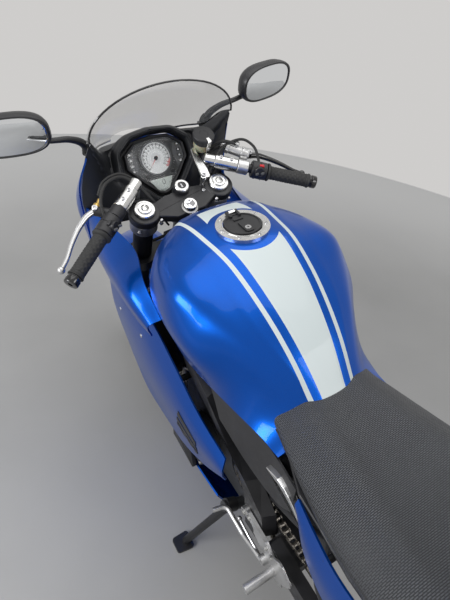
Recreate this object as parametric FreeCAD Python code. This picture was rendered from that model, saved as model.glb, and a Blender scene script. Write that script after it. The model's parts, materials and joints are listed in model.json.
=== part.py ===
import FreeCAD, Part
import math
import os

# A 600-class sport bike, leaning on its side stand with the steering turned a little left.
# It is modelled upright in the bike's own frame: X to the rider's right, Y forward, Z up,
# Y = 0 midway between the axles and Z = 0 at the ground. Lengths are in millimetres.
# Steering pieces are modelled in the fork's frame: x across, n forward of the steering axis,
# s up along it from the height of the front axle.

V = FreeCAD.Vector

# Stance
WHEELBASE = 1395.0
FRONT_AXLE_Y = 697.5
RAKE = 24.0
TRAIL = 97.0
LEAN = 9.8
STEER = 4.3
STEER_STOP = 27.0

# Running clearances
SHAFT_GAP = 0.05
FACE_GAP = 0.5
SEAT_GAP = 0.3

# Wheels and tyres
FRONT_TYRE_R, FRONT_TYRE_W = 300.0, 120.0
REAR_TYRE_R, REAR_TYRE_W = 315.0, 176.0
RIM_R = 219.0
FRONT_RIM_W, REAR_RIM_W = 92.0, 140.0
RIM_WALL = 7.0
SPOKES = 5
FRONT_HUB_R, FRONT_HUB_W = 30.0, 96.0
REAR_HUB_R, REAR_HUB_W = 42.0, 132.0
FRONT_AXLE_R, FRONT_AXLE_BORE = 12.5, 9.0
REAR_AXLE_R = 10.0
DISC_T = 5.0
FRONT_DISC_R, FRONT_DISC_X = 155.0, 62.0
REAR_DISC_R, REAR_DISC_X = 110.0, 84.0
CHAIN_X, CHAIN_W, CHAIN_H = -107.0, 16.0, 15.0
REAR_SPROCKET_R, FRONT_SPROCKET_R = 109.0, 40.0
SPROCKET_T = 6.0

# Front end, along the fork
FORK_X = 103.0
TUBE_R, INNER_TUBE_R = 25.0, 20.5
CAP_S, TOP_CLAMP_S, TOP_CLAMP_T = 665.0, 655.0, 24.0
LOWER_CLAMP_S, LOWER_CLAMP_T = 478.0, 38.0
TUBE_FOOT_S = 305.0
STEM_R, STEM_BORE_R = 15.0, 9.0
HEAD_R = 33.0
BAR_R, GRIP_R = 11.0, 16.5
BAR_IN, BAR_OUT = V(100, 88, 685), V(334, -77, 670)
GRIP_LENGTH, WEIGHT_LENGTH = 112.0, 22.0

# Chassis
PIVOT_Y, PIVOT_Z, PIVOT_R = -130.0, 385.0, 10.0
PIVOT_PLATE_X = 117.0
SPROCKET_Y = -38.0
ARM_X_IN, ARM_X_OUT, ARM_END = 121.0, 149.0, 27.0
SPOOL_AHEAD, SPOOL_RISE, SPOOL_R, SPOOL_DEPTH = 79.5, 7.0, 4.0, 18.0
DRILL_POINT = 0.6  # height of a drilled hole's cone, as a share of its radius
FENDER_GAP, FENDER_T, RADIATOR_GAP = 9.0, 3.0, 1.5
HUGGER_GAP, HUGGER_T = 12.0, 4.0
RAIL_R, RAIL_MID, RAIL_TIP = 13.0, V(104, -420, 722), V(66, -760, 812)
SEAT_SPLIT_Y = -470.0
PANEL_T = 4.0
SCREEN_T = 3.0

# Filler, on the tank's crown
FILLER_Y, FILLER_Z, FILLER_R = 163.0, 963.0, 54.0
RING_T, LID_R, LID_T, NECK_R, NECK_DEPTH = 5.0, 38.0, 8.0, 30.0, 60.0
LID_OPEN = 95.0

# Side stand
STAND_PIVOT = V(-152, -34, 292)
STAND_FOOT_X, STAND_FOOT_Y = -264.0, 34.0
STAND_R = 11.0
STAND_FOLDED = V(-0.12, -0.99, -0.03)
STAND_PIN_R = 7.0


def unit(v):
    return V(v).multiply(1.0 / v.Length)


def cyl(start, end, radius):
    return Part.makeCylinder(radius, (end - start).Length, start, end - start)


def across(x_from, x_to, y, z, radius):
    """A cylinder that lies across the bike."""
    return cyl(V(x_from, y, z), V(x_to, y, z), radius)


def fuse(shapes):
    return shapes[0].multiFuse(shapes[1:]).removeSplitter() if len(shapes) > 1 else shapes[0]


def mirrored(shape):
    return shape.mirror(V(0, 0, 0), V(1, 0, 0))


def pair(shape):
    """The right piece and its mirror image, as solids that don't touch."""
    return Part.makeCompound([shape, mirrored(shape)])


def corner(before, point, after, radius):
    """The start, middle and end of the arc that rounds a corner."""
    u, w = unit(before - point), unit(after - point)
    half = math.acos(max(-1.0, min(1.0, u.dot(w)))) / 2
    shorter = min((before - point).Length, (after - point).Length)
    reach = min(radius / math.tan(half), 0.45 * shorter)
    arc_r = reach * math.tan(half)
    middle = point + unit(u + w) * (arc_r / math.sin(half) - arc_r)
    return point + u * reach, middle, point + w * reach


def rounded_loop(points, radius):
    """A closed wire of lines and arcs. Each point may carry its own radius as (point, radius)."""
    items = [p if isinstance(p, tuple) else (p, radius) for p in points]
    arcs = []
    for i, (point, r) in enumerate(items):
        before, after = items[i - 1][0], items[(i + 1) % len(items)][0]
        arcs.append(corner(before, point, after, r) if r > 0 else (point, None, point))
    edges = []
    for i, (start, middle, end) in enumerate(arcs):
        if middle is not None:
            edges.append(Part.Arc(start, middle, end).toShape())
        follow = arcs[(i + 1) % len(arcs)][0]
        if (follow - end).Length > 1e-6:
            edges.append(Part.LineSegment(end, follow).toShape())
    return Part.Wire(edges)


def tube(points, radius, bend):
    """A round tube along straight runs joined by tangent arcs."""
    edges, here = [], points[0]
    for i in range(1, len(points) - 1):
        start, middle, end = corner(points[i - 1], points[i], points[i + 1], bend)
        edges.append(Part.LineSegment(here, start).toShape())
        edges.append(Part.Arc(start, middle, end).toShape())
        here = end
    edges.append(Part.LineSegment(here, points[-1]).toShape())
    mouth = Part.Wire([Part.makeCircle(radius, points[0], points[1] - points[0])])
    return Part.Wire(edges).makePipeShell([mouth], True, False)


def side_plate(outline, x_from, x_to, radius=0.0):
    """A plate with a side-view outline of (y, z) corners, as wide as the span across the bike."""
    loop = rounded_loop([V(x_from, y, z) for y, z in outline], radius)
    return Part.Face(loop).extrude(V(x_to - x_from, 0, 0))


def level_plate(outline, z_from, z_to, radius=0.0):
    """A plate with an outline of (x, y) corners, between two heights."""
    loop = rounded_loop([V(x, y, z_from) for x, y in outline], radius)
    return Part.Face(loop).extrude(V(0, 0, z_to - z_from))


def turned(profile, centre_x, y, z):
    """A solid of revolution about a line across the bike, from (x, radius) corners."""
    points = [V(centre_x + x, y, z + r) for x, r in profile]
    face = Part.Face(Part.makePolygon(points + [points[0]]))
    return face.revolve(V(0, y, z), V(1, 0, 0), 360)


def quad(a, b, c, d):
    """One flat face, or two triangles over the shorter diagonal where the corners aren't in one plane."""
    normal = (b - a).cross(c - a)
    if normal.Length > 1e-9 and abs(unit(normal).dot(d - a)) < 1e-6:
        return [Part.Face(Part.makePolygon([a, b, c, d, a]))]
    halves = ((a, b, c), (a, c, d)) if (c - a).Length <= (d - b).Length else ((a, b, d), (b, c, d))
    return [Part.Face(Part.makePolygon(list(t) + [t[0]])) for t in halves]


def close_up(faces):
    shell = Part.Shell(faces)
    shell.sewShape()
    solid = Part.Solid(shell)
    if solid.Volume < 0:
        solid.reverse()
    return solid


def skin(rings):
    """A closed body through rings of equally many points, its two end rings flat."""
    faces = []
    for one, two in zip(rings, rings[1:]):
        for i in range(len(one)):
            j = (i + 1) % len(one)
            faces += quad(one[i], one[j], two[j], two[i])
    for ring in (rings[0], rings[-1]):
        faces.append(Part.Face(Part.makePolygon(ring + [ring[0]])))
    return close_up(faces)


def panel(rows, thickness, inside):
    """A bent sheet through rows of points on its outer face, thickened towards a point inside."""
    count, width = len(rows), len(rows[0])
    inner = []
    for i in range(count):
        line = []
        for j in range(width):
            down = rows[min(i + 1, count - 1)][j] - rows[max(i - 1, 0)][j]
            over = rows[i][min(j + 1, width - 1)] - rows[i][max(j - 1, 0)]
            normal = unit(down.cross(over))
            if normal.dot(inside - rows[i][j]) < 0:
                normal = -normal
            line.append(rows[i][j] + normal * thickness)
        inner.append(line)
    faces = []
    for i in range(count - 1):
        for j in range(width - 1):
            for side in (rows, inner):
                faces += quad(side[i][j], side[i][j + 1], side[i + 1][j + 1], side[i + 1][j])
    rim = [(0, j) for j in range(width)] + [(i, width - 1) for i in range(1, count)]
    rim += [(count - 1, j) for j in range(width - 2, -1, -1)] + [(i, 0) for i in range(count - 2, 0, -1)]
    for (a, b), (c, d) in zip(rim, rim[1:] + rim[:1]):
        faces += quad(rows[a][b], rows[c][d], inner[c][d], inner[a][b])
    return close_up(faces)


# The fork's frame, and the stance of the whole bike

SIN_RAKE, COS_RAKE = math.sin(math.radians(RAKE)), math.cos(math.radians(RAKE))
FORK_OFFSET = FRONT_TYRE_R * SIN_RAKE - TRAIL * COS_RAKE
FRONT_AXLE = V(0, FRONT_AXLE_Y, FRONT_TYRE_R)
REAR_AXLE = V(0, FRONT_AXLE_Y - WHEELBASE, REAR_TYRE_R)
SPOOL_Y, SPOOL_Z = REAR_AXLE.y + SPOOL_AHEAD, REAR_AXLE.z + SPOOL_RISE
STEER_ORIGIN = FRONT_AXLE - V(0, COS_RAKE, SIN_RAKE) * FORK_OFFSET
STEER_AXIS = V(0, -SIN_RAKE, COS_RAKE)
FORK_PLACE = FreeCAD.Placement(STEER_ORIGIN, FreeCAD.Rotation(V(1, 0, 0), RAKE))


def on_fork(shape):
    placed = shape.copy()
    placed.Placement = FORK_PLACE.multiply(placed.Placement)
    return placed


# Wheels

# Tyre section, crown to sidewall. Columns: share of half width, share of section height.
TYRE_SECTION = [(0.10, 0.998), (0.36, 0.95), (0.60, 0.84), (0.80, 0.66), (0.94, 0.50), (1.0, 0.36), (0.95, 0.22)]
BEAD_H, BEAD_W, TYRE_WALL = 12.5, 10.0, 9.0


def tyre_profile(radius, width, rim_w):
    """A tyre's closed section as (x, radius) corners, its beads between the rim's flanges."""
    height, bead_x = radius - RIM_R, rim_w / 2 - SEAT_GAP
    right = [(share * width / 2, RIM_R + up * height) for share, up in TYRE_SECTION]
    right += [(bead_x, RIM_R + BEAD_H), (bead_x, RIM_R + SEAT_GAP)]
    inner = [(bead_x - BEAD_W, RIM_R + SEAT_GAP), (bead_x - BEAD_W, RIM_R + BEAD_H),
             (width / 2 - TYRE_WALL, RIM_R + 0.38 * height), (0.30 * width, radius - 0.16 * height - TYRE_WALL),
             (0.05 * width, radius - TYRE_WALL)]
    left = [(-x, r) for x, r in reversed(right)]
    back = [(-x, r) for x, r in reversed(inner)]
    return left + right + inner + back


def tyre(radius, width, rim_w, axle):
    return turned(tyre_profile(radius, width, rim_w), 0, axle.y, axle.z)


def rim(width, hub_r, hub_w, bore_r, axle, spoke_t):
    """A cast wheel: a rim with bead flanges, five forked spokes and a hub."""
    half, well = width / 2, RIM_R - 16
    profile = [(-half - RIM_WALL, RIM_R + 12), (-half, RIM_R + 12), (-half, RIM_R), (-half + 14, RIM_R),
               (-0.2 * width, well), (0.2 * width, well), (half - 14, RIM_R), (half, RIM_R),
               (half, RIM_R + 12), (half + RIM_WALL, RIM_R + 12), (half + RIM_WALL, RIM_R - RIM_WALL),
               (0.3 * width, well - RIM_WALL), (-0.3 * width, well - RIM_WALL), (-half - RIM_WALL, RIM_R - RIM_WALL)]
    pieces = [turned(profile, 0, axle.y, axle.z), across(-hub_w / 2, hub_w / 2, axle.y, axle.z, hub_r)]
    inner_r, outer_r, spread = hub_r - 6, well - 3, 12.0
    for i in range(SPOKES):
        for side in (-1, 1):
            root = math.radians(90 + 360.0 / SPOKES * i + side * 10)
            tip = math.radians(90 + 360.0 / SPOKES * i + side * spread)
            start = V(0, axle.y + inner_r * math.cos(root), axle.z + inner_r * math.sin(root))
            end = V(0, axle.y + outer_r * math.cos(tip), axle.z + outer_r * math.sin(tip))
            aside = unit((end - start).cross(V(1, 0, 0)))
            ring = [start - aside * 11, start + aside * 11, end + aside * 8, end - aside * 8]
            loop = Part.makePolygon([p - V(spoke_t / 2, 0, 0) for p in ring + ring[:1]])
            pieces.append(Part.Face(loop).extrude(V(spoke_t, 0, 0)))
    return fuse(pieces).cut(across(-hub_w, hub_w, axle.y, axle.z, bore_r))


def brake_disc(x, radius, hole_r, axle, carriers):
    """A brake disc with an open carrier: an outer band, an inner ring and arms between them."""
    half = DISC_T / 2
    ring = across(x - half, x + half, axle.y, axle.z, radius)
    band = ring.cut(across(x - DISC_T, x + DISC_T, axle.y, axle.z, radius - 36))
    centre = across(x - half, x + half, axle.y, axle.z, hole_r + 18)
    arms = [band, centre]
    for i in range(carriers):
        arm = Part.makeBox(DISC_T, 16, radius - 30 - hole_r, V(x - half, axle.y - 8, axle.z + hole_r + 4))
        arm.rotate(axle, V(1, 0, 0), 360.0 / carriers * i)
        arms.append(arm)
    return fuse(arms).cut(across(x - DISC_T, x + DISC_T, axle.y, axle.z, hole_r))


def front_discs():
    discs = []
    for side in (-1, 1):
        disc = brake_disc(side * FRONT_DISC_X, FRONT_DISC_R, FRONT_HUB_R + SEAT_GAP, FRONT_AXLE, 8)
        discs.append(disc)
    return discs


def front_hub_flanges():
    """The hub's shoulders that the front discs bolt to."""
    start, end = FRONT_HUB_W / 2 - 20, FRONT_DISC_X - DISC_T / 2
    flanges = []
    for side in (-1, 1):
        flanges.append(across(side * start, side * end, FRONT_AXLE.y, FRONT_AXLE.z, FRONT_HUB_R + 14))
        flanges.append(across(side * start, side * (end + DISC_T), FRONT_AXLE.y, FRONT_AXLE.z, FRONT_HUB_R))
    return flanges


def front_rim():
    body = rim(FRONT_RIM_W, FRONT_HUB_R, FRONT_HUB_W, FRONT_AXLE_R + SHAFT_GAP, FRONT_AXLE, 24)
    body = fuse([body] + front_hub_flanges())
    reach = FRONT_DISC_X + DISC_T
    return body.cut(across(-reach, reach, FRONT_AXLE.y, FRONT_AXLE.z, FRONT_AXLE_R + SHAFT_GAP))


def rear_rim():
    body = rim(REAR_RIM_W, REAR_HUB_R, REAR_HUB_W, REAR_AXLE_R + SHAFT_GAP, REAR_AXLE, 30)
    start = REAR_HUB_W / 2 - 10
    left_end, right_end = CHAIN_X + SPROCKET_T / 2, REAR_DISC_X - DISC_T / 2
    carrier = across(-start, left_end, REAR_AXLE.y, REAR_AXLE.z, 62)
    flange = across(start, right_end, REAR_AXLE.y, REAR_AXLE.z, 48)
    bore = across(-150, 150, REAR_AXLE.y, REAR_AXLE.z, REAR_AXLE_R + SHAFT_GAP)
    return fuse([body, carrier, flange]).cut(bore)


def rear_sprocket():
    half = SPROCKET_T / 2
    plate = across(CHAIN_X - half, CHAIN_X + half, REAR_AXLE.y, REAR_AXLE.z, REAR_SPROCKET_R - CHAIN_H / 2 - 1)
    plate = plate.cut(across(CHAIN_X - half, CHAIN_X + half, REAR_AXLE.y, REAR_AXLE.z, 30))
    for i in range(5):
        hole = across(CHAIN_X - half, CHAIN_X + half, REAR_AXLE.y, REAR_AXLE.z + 80, 13)
        hole.rotate(REAR_AXLE, V(1, 0, 0), 72.0 * i + 36)
        plate = plate.cut(hole)
    return plate


def rear_disc():
    return brake_disc(REAR_DISC_X, REAR_DISC_R, 40, REAR_AXLE, 5)


# Steering pieces, in the fork's frame

def fork_outer_tubes():
    foot = cyl(V(FORK_X, FORK_OFFSET, TUBE_FOOT_S), V(FORK_X, FORK_OFFSET, CAP_S - 8), TUBE_R)
    collar = cyl(V(FORK_X, FORK_OFFSET, TUBE_FOOT_S - 14), V(FORK_X, FORK_OFFSET, TUBE_FOOT_S + 12), TUBE_R + 3)
    cap = cyl(V(FORK_X, FORK_OFFSET, CAP_S - 8), V(FORK_X, FORK_OFFSET, CAP_S), TUBE_R - 2)
    socket = cyl(V(FORK_X, FORK_OFFSET, CAP_S - 5), V(FORK_X, FORK_OFFSET, CAP_S + 4), 9)
    return on_fork(pair(fuse([foot, collar, cap]).cut(socket)))


def fork_inner_tubes():
    """The chromed lower tubes with the axle lugs at their feet."""
    stem = cyl(V(FORK_X, FORK_OFFSET, 20), V(FORK_X, FORK_OFFSET, TUBE_FOOT_S - 14), INNER_TUBE_R)
    lug = cyl(V(FORK_X - 26, FORK_OFFSET, 0), V(FORK_X + 26, FORK_OFFSET, 0), 27)
    sleeve = cyl(V(FORK_X, FORK_OFFSET, -6), V(FORK_X, FORK_OFFSET, 74), INNER_TUBE_R + 5)
    ear = side_plate([(FORK_OFFSET, 6), (FORK_OFFSET, 96), (-44, 132), (-84, 24)], FORK_X - 17, FORK_X + 1, 8)
    bore = cyl(V(FORK_X - 40, FORK_OFFSET, 0), V(FORK_X + 40, FORK_OFFSET, 0), FRONT_AXLE_R)
    leg = fuse([stem, lug, sleeve, ear]).cut(bore).cut(caliper_body())
    return on_fork(pair(leg))


def front_axle():
    """The hollow axle, its head on the left, with the spacers between hub and lugs."""
    inner = FRONT_DISC_X + DISC_T / 2 + FACE_GAP
    rod = cyl(V(-FORK_X - 30, FORK_OFFSET, 0), V(FORK_X + 30, FORK_OFFSET, 0), FRONT_AXLE_R)
    spacers = [cyl(V(s * inner, FORK_OFFSET, 0), V(s * (FORK_X - 26), FORK_OFFSET, 0), 17) for s in (-1, 1)]
    heads = [cyl(V(s * (FORK_X + 26), FORK_OFFSET, 0), V(s * (FORK_X + 34), FORK_OFFSET, 0), 18) for s in (-1, 1)]
    bore = cyl(V(-FORK_X - 50, FORK_OFFSET, 0), V(FORK_X + 50, FORK_OFFSET, 0), FRONT_AXLE_BORE)
    return on_fork(fuse([rod] + spacers + heads).cut(bore))


def clamp_plate(top, thickness, waist, grip):
    """A fork clamp: two rings joined by a bridge that carries the stem."""
    bottom = top - thickness
    bridge = level_plate([(-FORK_X, FORK_OFFSET - 26), (-40, -waist), (40, -waist), (FORK_X, FORK_OFFSET - 26),
                          (FORK_X, FORK_OFFSET + 22), (38, 44), (-38, 44), (-FORK_X, FORK_OFFSET + 22)],
                         bottom, top, 12)
    rings = [cyl(V(s * FORK_X, FORK_OFFSET, bottom), V(s * FORK_X, FORK_OFFSET, top), grip) for s in (-1, 1)]
    holes = [cyl(V(s * FORK_X, FORK_OFFSET, bottom), V(s * FORK_X, FORK_OFFSET, top), TUBE_R) for s in (-1, 1)]
    plate = fuse([bridge] + rings)
    for hole in holes:
        plate = plate.cut(hole)
    return plate


def top_clamp():
    """The top clamp with the stem nut and the ignition lock ahead of it."""
    bottom = TOP_CLAMP_S - TOP_CLAMP_T
    plate = clamp_plate(TOP_CLAMP_S, TOP_CLAMP_T, 24, TUBE_R + 12)
    nut = cyl(V(0, 0, TOP_CLAMP_S), V(0, 0, TOP_CLAMP_S + 11), 15)
    socket = cyl(V(0, 0, TOP_CLAMP_S + 3), V(0, 0, TOP_CLAMP_S + 12), 9)
    lock = cyl(V(0, 54, bottom - 34), V(0, 54, TOP_CLAMP_S + 7), 19)
    stem_hole = cyl(V(0, 0, bottom), V(0, 0, TOP_CLAMP_S - 4), STEM_R)
    return on_fork(fuse([plate, nut, lock]).cut(socket).cut(stem_hole))


def lower_clamp():
    """The lower clamp and the steering stem, hollow at its foot for a front lift stand."""
    plate = clamp_plate(LOWER_CLAMP_S, LOWER_CLAMP_T, 30, TUBE_R + 13)
    stem = cyl(V(0, 0, LOWER_CLAMP_S - LOWER_CLAMP_T), V(0, 0, TOP_CLAMP_S - 4), STEM_R)
    bore = cyl(V(0, 0, LOWER_CLAMP_S - LOWER_CLAMP_T), V(0, 0, LOWER_CLAMP_S + 20), STEM_BORE_R)
    union = Part.makeBox(32, 30, 16, V(-16, 40, LOWER_CLAMP_S - 26))
    return on_fork(fuse([plate, stem, union]).cut(bore))


def bar_point(along, ahead=0.0, up=0.0):
    """A point on the right bar's line, so far out from its inner end."""
    line = unit(BAR_OUT - BAR_IN)
    forward = unit(V(0, 0, 1).cross(line))
    return BAR_IN + line * along + forward * ahead + V(0, 0, up)


BAR_LENGTH = (BAR_OUT - BAR_IN).Length
GRIP_END = BAR_LENGTH - WEIGHT_LENGTH
GRIP_START = GRIP_END - GRIP_LENGTH


def clip_ons():
    """The handlebars: a ring on each fork tube, a boss ahead of it and the bar through the boss."""
    ring_top = TOP_CLAMP_S - TOP_CLAMP_T - 1
    ring = cyl(V(FORK_X, FORK_OFFSET, ring_top - 34), V(FORK_X, FORK_OFFSET, ring_top), TUBE_R + 9)
    web = level_plate([(FORK_X - 24, FORK_OFFSET + 10), (FORK_X + 24, FORK_OFFSET + 10),
                       (FORK_X + 20, BAR_IN.y - 6), (FORK_X - 8, BAR_IN.y - 2)], ring_top - 30, ring_top - 2, 4)
    back = FORK_OFFSET + TUBE_R + 12 + 1
    riser = level_plate([(FORK_X - 14, back), (FORK_X + 22, back), (FORK_X + 20, back + 16), (FORK_X - 8, back + 24)],
                        ring_top - 30, BAR_IN.z, 4)
    barrel = cyl(bar_point(-8), bar_point(52), 17)
    bar = cyl(bar_point(-14), bar_point(GRIP_END), BAR_R)
    hole = cyl(V(FORK_X, FORK_OFFSET, 400), V(FORK_X, FORK_OFFSET, 700), TUBE_R)
    return on_fork(pair(fuse([ring, web, riser, barrel, bar]).cut(hole)))


def grips():
    sleeve = cyl(bar_point(GRIP_START), bar_point(GRIP_END), GRIP_R)
    flange = cyl(bar_point(GRIP_START), bar_point(GRIP_START + 5), GRIP_R + 5)
    weight = cyl(bar_point(GRIP_END), bar_point(BAR_LENGTH), GRIP_R - 1)
    core = cyl(bar_point(GRIP_START - 1), bar_point(GRIP_END), BAR_R)
    return on_fork(pair(fuse([sleeve, flange, weight]).cut(core)))


def lever(reach_in, reach_out, pivot):
    """A hand lever: a blade from its pivot to a ball end, ahead of the grip."""
    knee = bar_point(reach_in + 40, pivot + 10, -7)
    ball = bar_point(reach_out, pivot - 4, -20)
    root = bar_point(reach_in, pivot, -2)
    return fuse([cyl(root, knee, 7.5), Part.makeSphere(7.5, knee), cyl(knee, ball, 6.5), Part.makeSphere(9, ball)])


def switch_box(width):
    """The switch housing round the bar, just inboard of the grip."""
    end = GRIP_START - 1
    box = cyl(bar_point(end - width), bar_point(end), 21)
    lug = cyl(bar_point(end - width * 0.5, 4, 4), bar_point(end - width * 0.5, -20, 15), 12)
    return fuse([box, lug])


def bar_controls():
    """Switch boxes, lever perches and levers, with the brake master cylinder on the right."""
    inner = GRIP_START - 62
    perch = fuse([cyl(bar_point(inner - 16), bar_point(inner + 12), 18),
                  cyl(bar_point(inner), bar_point(inner + 14, 46, -2), 12)])
    hole = cyl(bar_point(-30), bar_point(BAR_LENGTH), BAR_R)
    blade = lever(inner + 14, BAR_LENGTH - 30, 44)
    left = fuse([switch_box(48), perch, blade]).cut(hole)
    cylinder = cyl(bar_point(inner + 14, 44, 0), bar_point(inner - 52, 52, 4), 13)
    right = fuse([switch_box(40), perch, blade, cylinder]).cut(hole)
    return on_fork(Part.makeCompound([mirrored(left), right]))


RESERVOIR = V(108, 132, 712)


def brake_reservoir():
    """The brake fluid cup on a bracket from the right fork clamp."""
    foot = RESERVOIR - V(0, 0, 26)
    cup = fuse([cyl(foot, RESERVOIR, 19), cyl(RESERVOIR, RESERVOIR + V(0, 0, 12), 22)])
    arm = tube([V(60, 44, TOP_CLAMP_S), V(60, 44, TOP_CLAMP_S + 36), V(66, 118, TOP_CLAMP_S + 40),
                foot + V(0, 0, 6)], 4, 14)
    return on_fork(fuse([cup, arm]))


HOSE_R = 4.5


def brake_hoses():
    """Hoses from the union on the lower clamp down outside the fork legs to the calipers."""
    hoses = []
    for side in (-1, 1):
        points = [V(side * 16, 62, LOWER_CLAMP_S - 18), V(side * 62, 70, LOWER_CLAMP_S - 34), V(side * 116, 72, 380),
                  V(side * 141, 52, 290), V(side * 143, 24, 210), V(side * 128, -22, 158), V(side * 92, -58, 150),
                  V(side * 90, -72, 124)]
        hoses.append(tube(points, HOSE_R, 60))
    return on_fork(Part.makeCompound(hoses).cut(pair(caliper_body())))


CALIPER_TURN, CALIPER_LENGTH = 150.0, 108.0


def caliper_body():
    """The right caliper's body: a block across the disc's edge behind the fork leg."""
    inner_x, outer_x = FRONT_DISC_X - 18, FRONT_DISC_X + 36
    low_r, high_r = FRONT_DISC_R - 52, FRONT_DISC_R + 18
    body = Part.makeBox(outer_x - inner_x, high_r - low_r, CALIPER_LENGTH, V(inner_x, low_r, -CALIPER_LENGTH / 2))
    slot = Part.makeBox(DISC_T + 10, FRONT_DISC_R + 6 - low_r, CALIPER_LENGTH, V(FRONT_DISC_X - DISC_T / 2 - 5,
                        low_r, -CALIPER_LENGTH / 2))
    block = body.makeFillet(8, [e for e in body.Edges if abs(e.tangentAt(0).x) > 0.9]).cut(slot)
    block.rotate(V(0, 0, 0), V(1, 0, 0), CALIPER_TURN)
    block.translate(V(0, FORK_OFFSET, 0))
    return block


def front_calipers():
    return on_fork(pair(caliper_body()))


def front_fender():
    """The front mudguard: a sheet turned about the axle, with stays down to the fork lugs."""
    inner_r, outer_r = FRONT_TYRE_R + FENDER_GAP, FRONT_TYRE_R + FENDER_GAP + FENDER_T
    # columns: share of half width, drop below the crown
    half = [(0.0, 0.0), (0.5, 4.0), (0.84, 16.0), (1.0, 44.0)]
    width, stay_x = 72.0, 70.5
    outer = [(-s * width, outer_r - d) for s, d in reversed(half)] + [(s * width, outer_r - d) for s, d in half[1:]]
    inner = [(s * (width - 3), inner_r - d) for s, d in reversed(half)]
    inner += [(-s * (width - 3), inner_r - d) for s, d in half[1:]]
    points = [V(x, FORK_OFFSET, r) for x, r in outer + inner]
    face = Part.Face(Part.makePolygon(points + [points[0]]))
    face.rotate(V(0, FORK_OFFSET, 0), V(1, 0, 0), -62)
    sheet = face.revolve(V(0, FORK_OFFSET, 0), V(1, 0, 0), 128)
    stays = []
    for side in (-1, 1):
        top = outer_r - 50
        outline = [(FORK_OFFSET - 26, 88), (FORK_OFFSET + 26, 88), (FORK_OFFSET + 70, top), (FORK_OFFSET - 70, top)]
        stays.append(side_plate(outline, side * stay_x, side * (stay_x + 4), 6))
        stays.append(across(side * stay_x, side * (FORK_X - 20), FORK_OFFSET, 104, 9))
    sleeves = [cyl(V(side * FORK_X, FORK_OFFSET, -6), V(side * FORK_X, FORK_OFFSET, 200), INNER_TUBE_R)
               for side in (-1, 1)]
    return on_fork(fuse([sheet] + stays).cut(Part.makeCompound(sleeves)))


# Frame, engine and running gear

def spar(table):
    """A box-section beam. Columns: y, z, inner x, outer x, half height, tilt of the section."""
    rings = []
    for y, z, x_in, x_out, half, tilt in table:
        up = V(0, math.sin(math.radians(tilt)), math.cos(math.radians(tilt)))
        centre = V(0, y, z)
        rings.append([centre + V(x_in, 0, 0) - up * half, centre + V(x_out, 0, 0) - up * (half - 12),
                      centre + V(x_out, 0, 0) + up * (half - 12), centre + V(x_in, 0, 0) + up * half])
    return skin(rings)


def frame():
    """The twin-spar frame: head tube, two spars, pivot plates and the tubes that join them."""
    # columns: y, z, inner x, outer x, half height, tilt
    beam = [(452, 748, 4, 34, 52, 24), (392, 742, 50, 82, 52, 20), (300, 716, 96, 128, 50, 16),
            (150, 684, 122, 156, 46, 12), (20, 636, 128, 162, 48, 30), (-70, 560, 122, 156, 50, 60),
            (-122, 470, 118, 148, 48, 86), (-132, 385, 117, 147, 48, 90), (-112, 300, 117, 143, 34, 96)]
    right = spar(beam)
    head = cyl(V(0, 0, LOWER_CLAMP_S + FACE_GAP), V(0, 0, TOP_CLAMP_S - TOP_CLAMP_T - FACE_GAP), HEAD_R)
    bore = cyl(V(0, 0, 400), V(0, 0, 700), STEM_R + SHAFT_GAP)
    cross = [across(-140, 140, -64, 600, 20), across(-140, 140, -104, 300, 17)]
    hanger = side_plate([(230, 690), (300, 700), (262, 560), (228, 548)], 116, 130, 8)
    bolt = [across(-150, 150, PIVOT_Y, PIVOT_Z, PIVOT_R)]
    bolt += [across(side * 140, side * 156, PIVOT_Y, PIVOT_Z, 17) for side in (-1, 1)]
    body = fuse([on_fork(head), right, mirrored(right), hanger, mirrored(hanger)] + cross + bolt)
    return body.cut(on_fork(bore))


def subframe():
    """The rails that carry the seat and tail, bolted to the frame behind the tank."""
    upper = tube([V(104, -86, 600), V(110, -196, 700), RAIL_MID, RAIL_TIP], RAIL_R, 90)
    lower = tube([V(106, -118, 480), V(112, -240, 560), RAIL_MID - V(0, 0, 16)], 11, 60)
    rungs = [across(-104, 104, -250, 702, 11)]
    for share in (0.15, 0.94):
        spot = RAIL_MID + (RAIL_TIP - RAIL_MID) * share
        rungs.append(across(-spot.x, spot.x, spot.y, spot.z, 11))
    body = fuse([upper, lower, mirrored(upper), mirrored(lower)] + rungs)
    return body.cut(frame_space())


def frame_space():
    """The room that the frame's rear posts take, so that the rails end against them."""
    post = side_plate([(20, 700), (20, 400), (-104, 400), (-128, 480), (-84, 596), (-30, 660)], 116, 164)
    tube_ = across(-142, 142, -64, 600, 20)
    return Part.makeCompound([post, mirrored(post), tube_])


def engine():
    """The engine as a plain block: crankcase, leaning cylinders and the round side covers."""
    outline = [(-98, 262), (236, 238), (268, 300), (236, 372), (268, 402), (214, 596), (96, 618),
               (66, 470), (-62, 452), (-98, 400)]
    block = side_plate(outline, -112, 112, 12)
    head = side_plate([(262, 420), (212, 596), (96, 616), (72, 500)], -114, 114, 8)
    covers = [across(-168, -112, 142, 352, 66), across(112, 172, 132, 356, 78), across(112, 150, 212, 330, 40)]
    sprocket_room = across(-125, -88, SPROCKET_Y, PIVOT_Z, 62)
    room_back = Part.makeBox(37, 120, 128, V(-125, SPROCKET_Y - 120, PIVOT_Z - 66))
    body = fuse([block, head] + covers).cut(sprocket_room).cut(room_back)
    half = SPROCKET_T / 2
    shaft = across(-80, CHAIN_X - 12, SPROCKET_Y, PIVOT_Z, 13)
    teeth_r = FRONT_SPROCKET_R - CHAIN_H / 2 - 1
    wheel = across(CHAIN_X - half, CHAIN_X + half, SPROCKET_Y, PIVOT_Z, teeth_r)
    return fuse([body, shaft, wheel])


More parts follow.
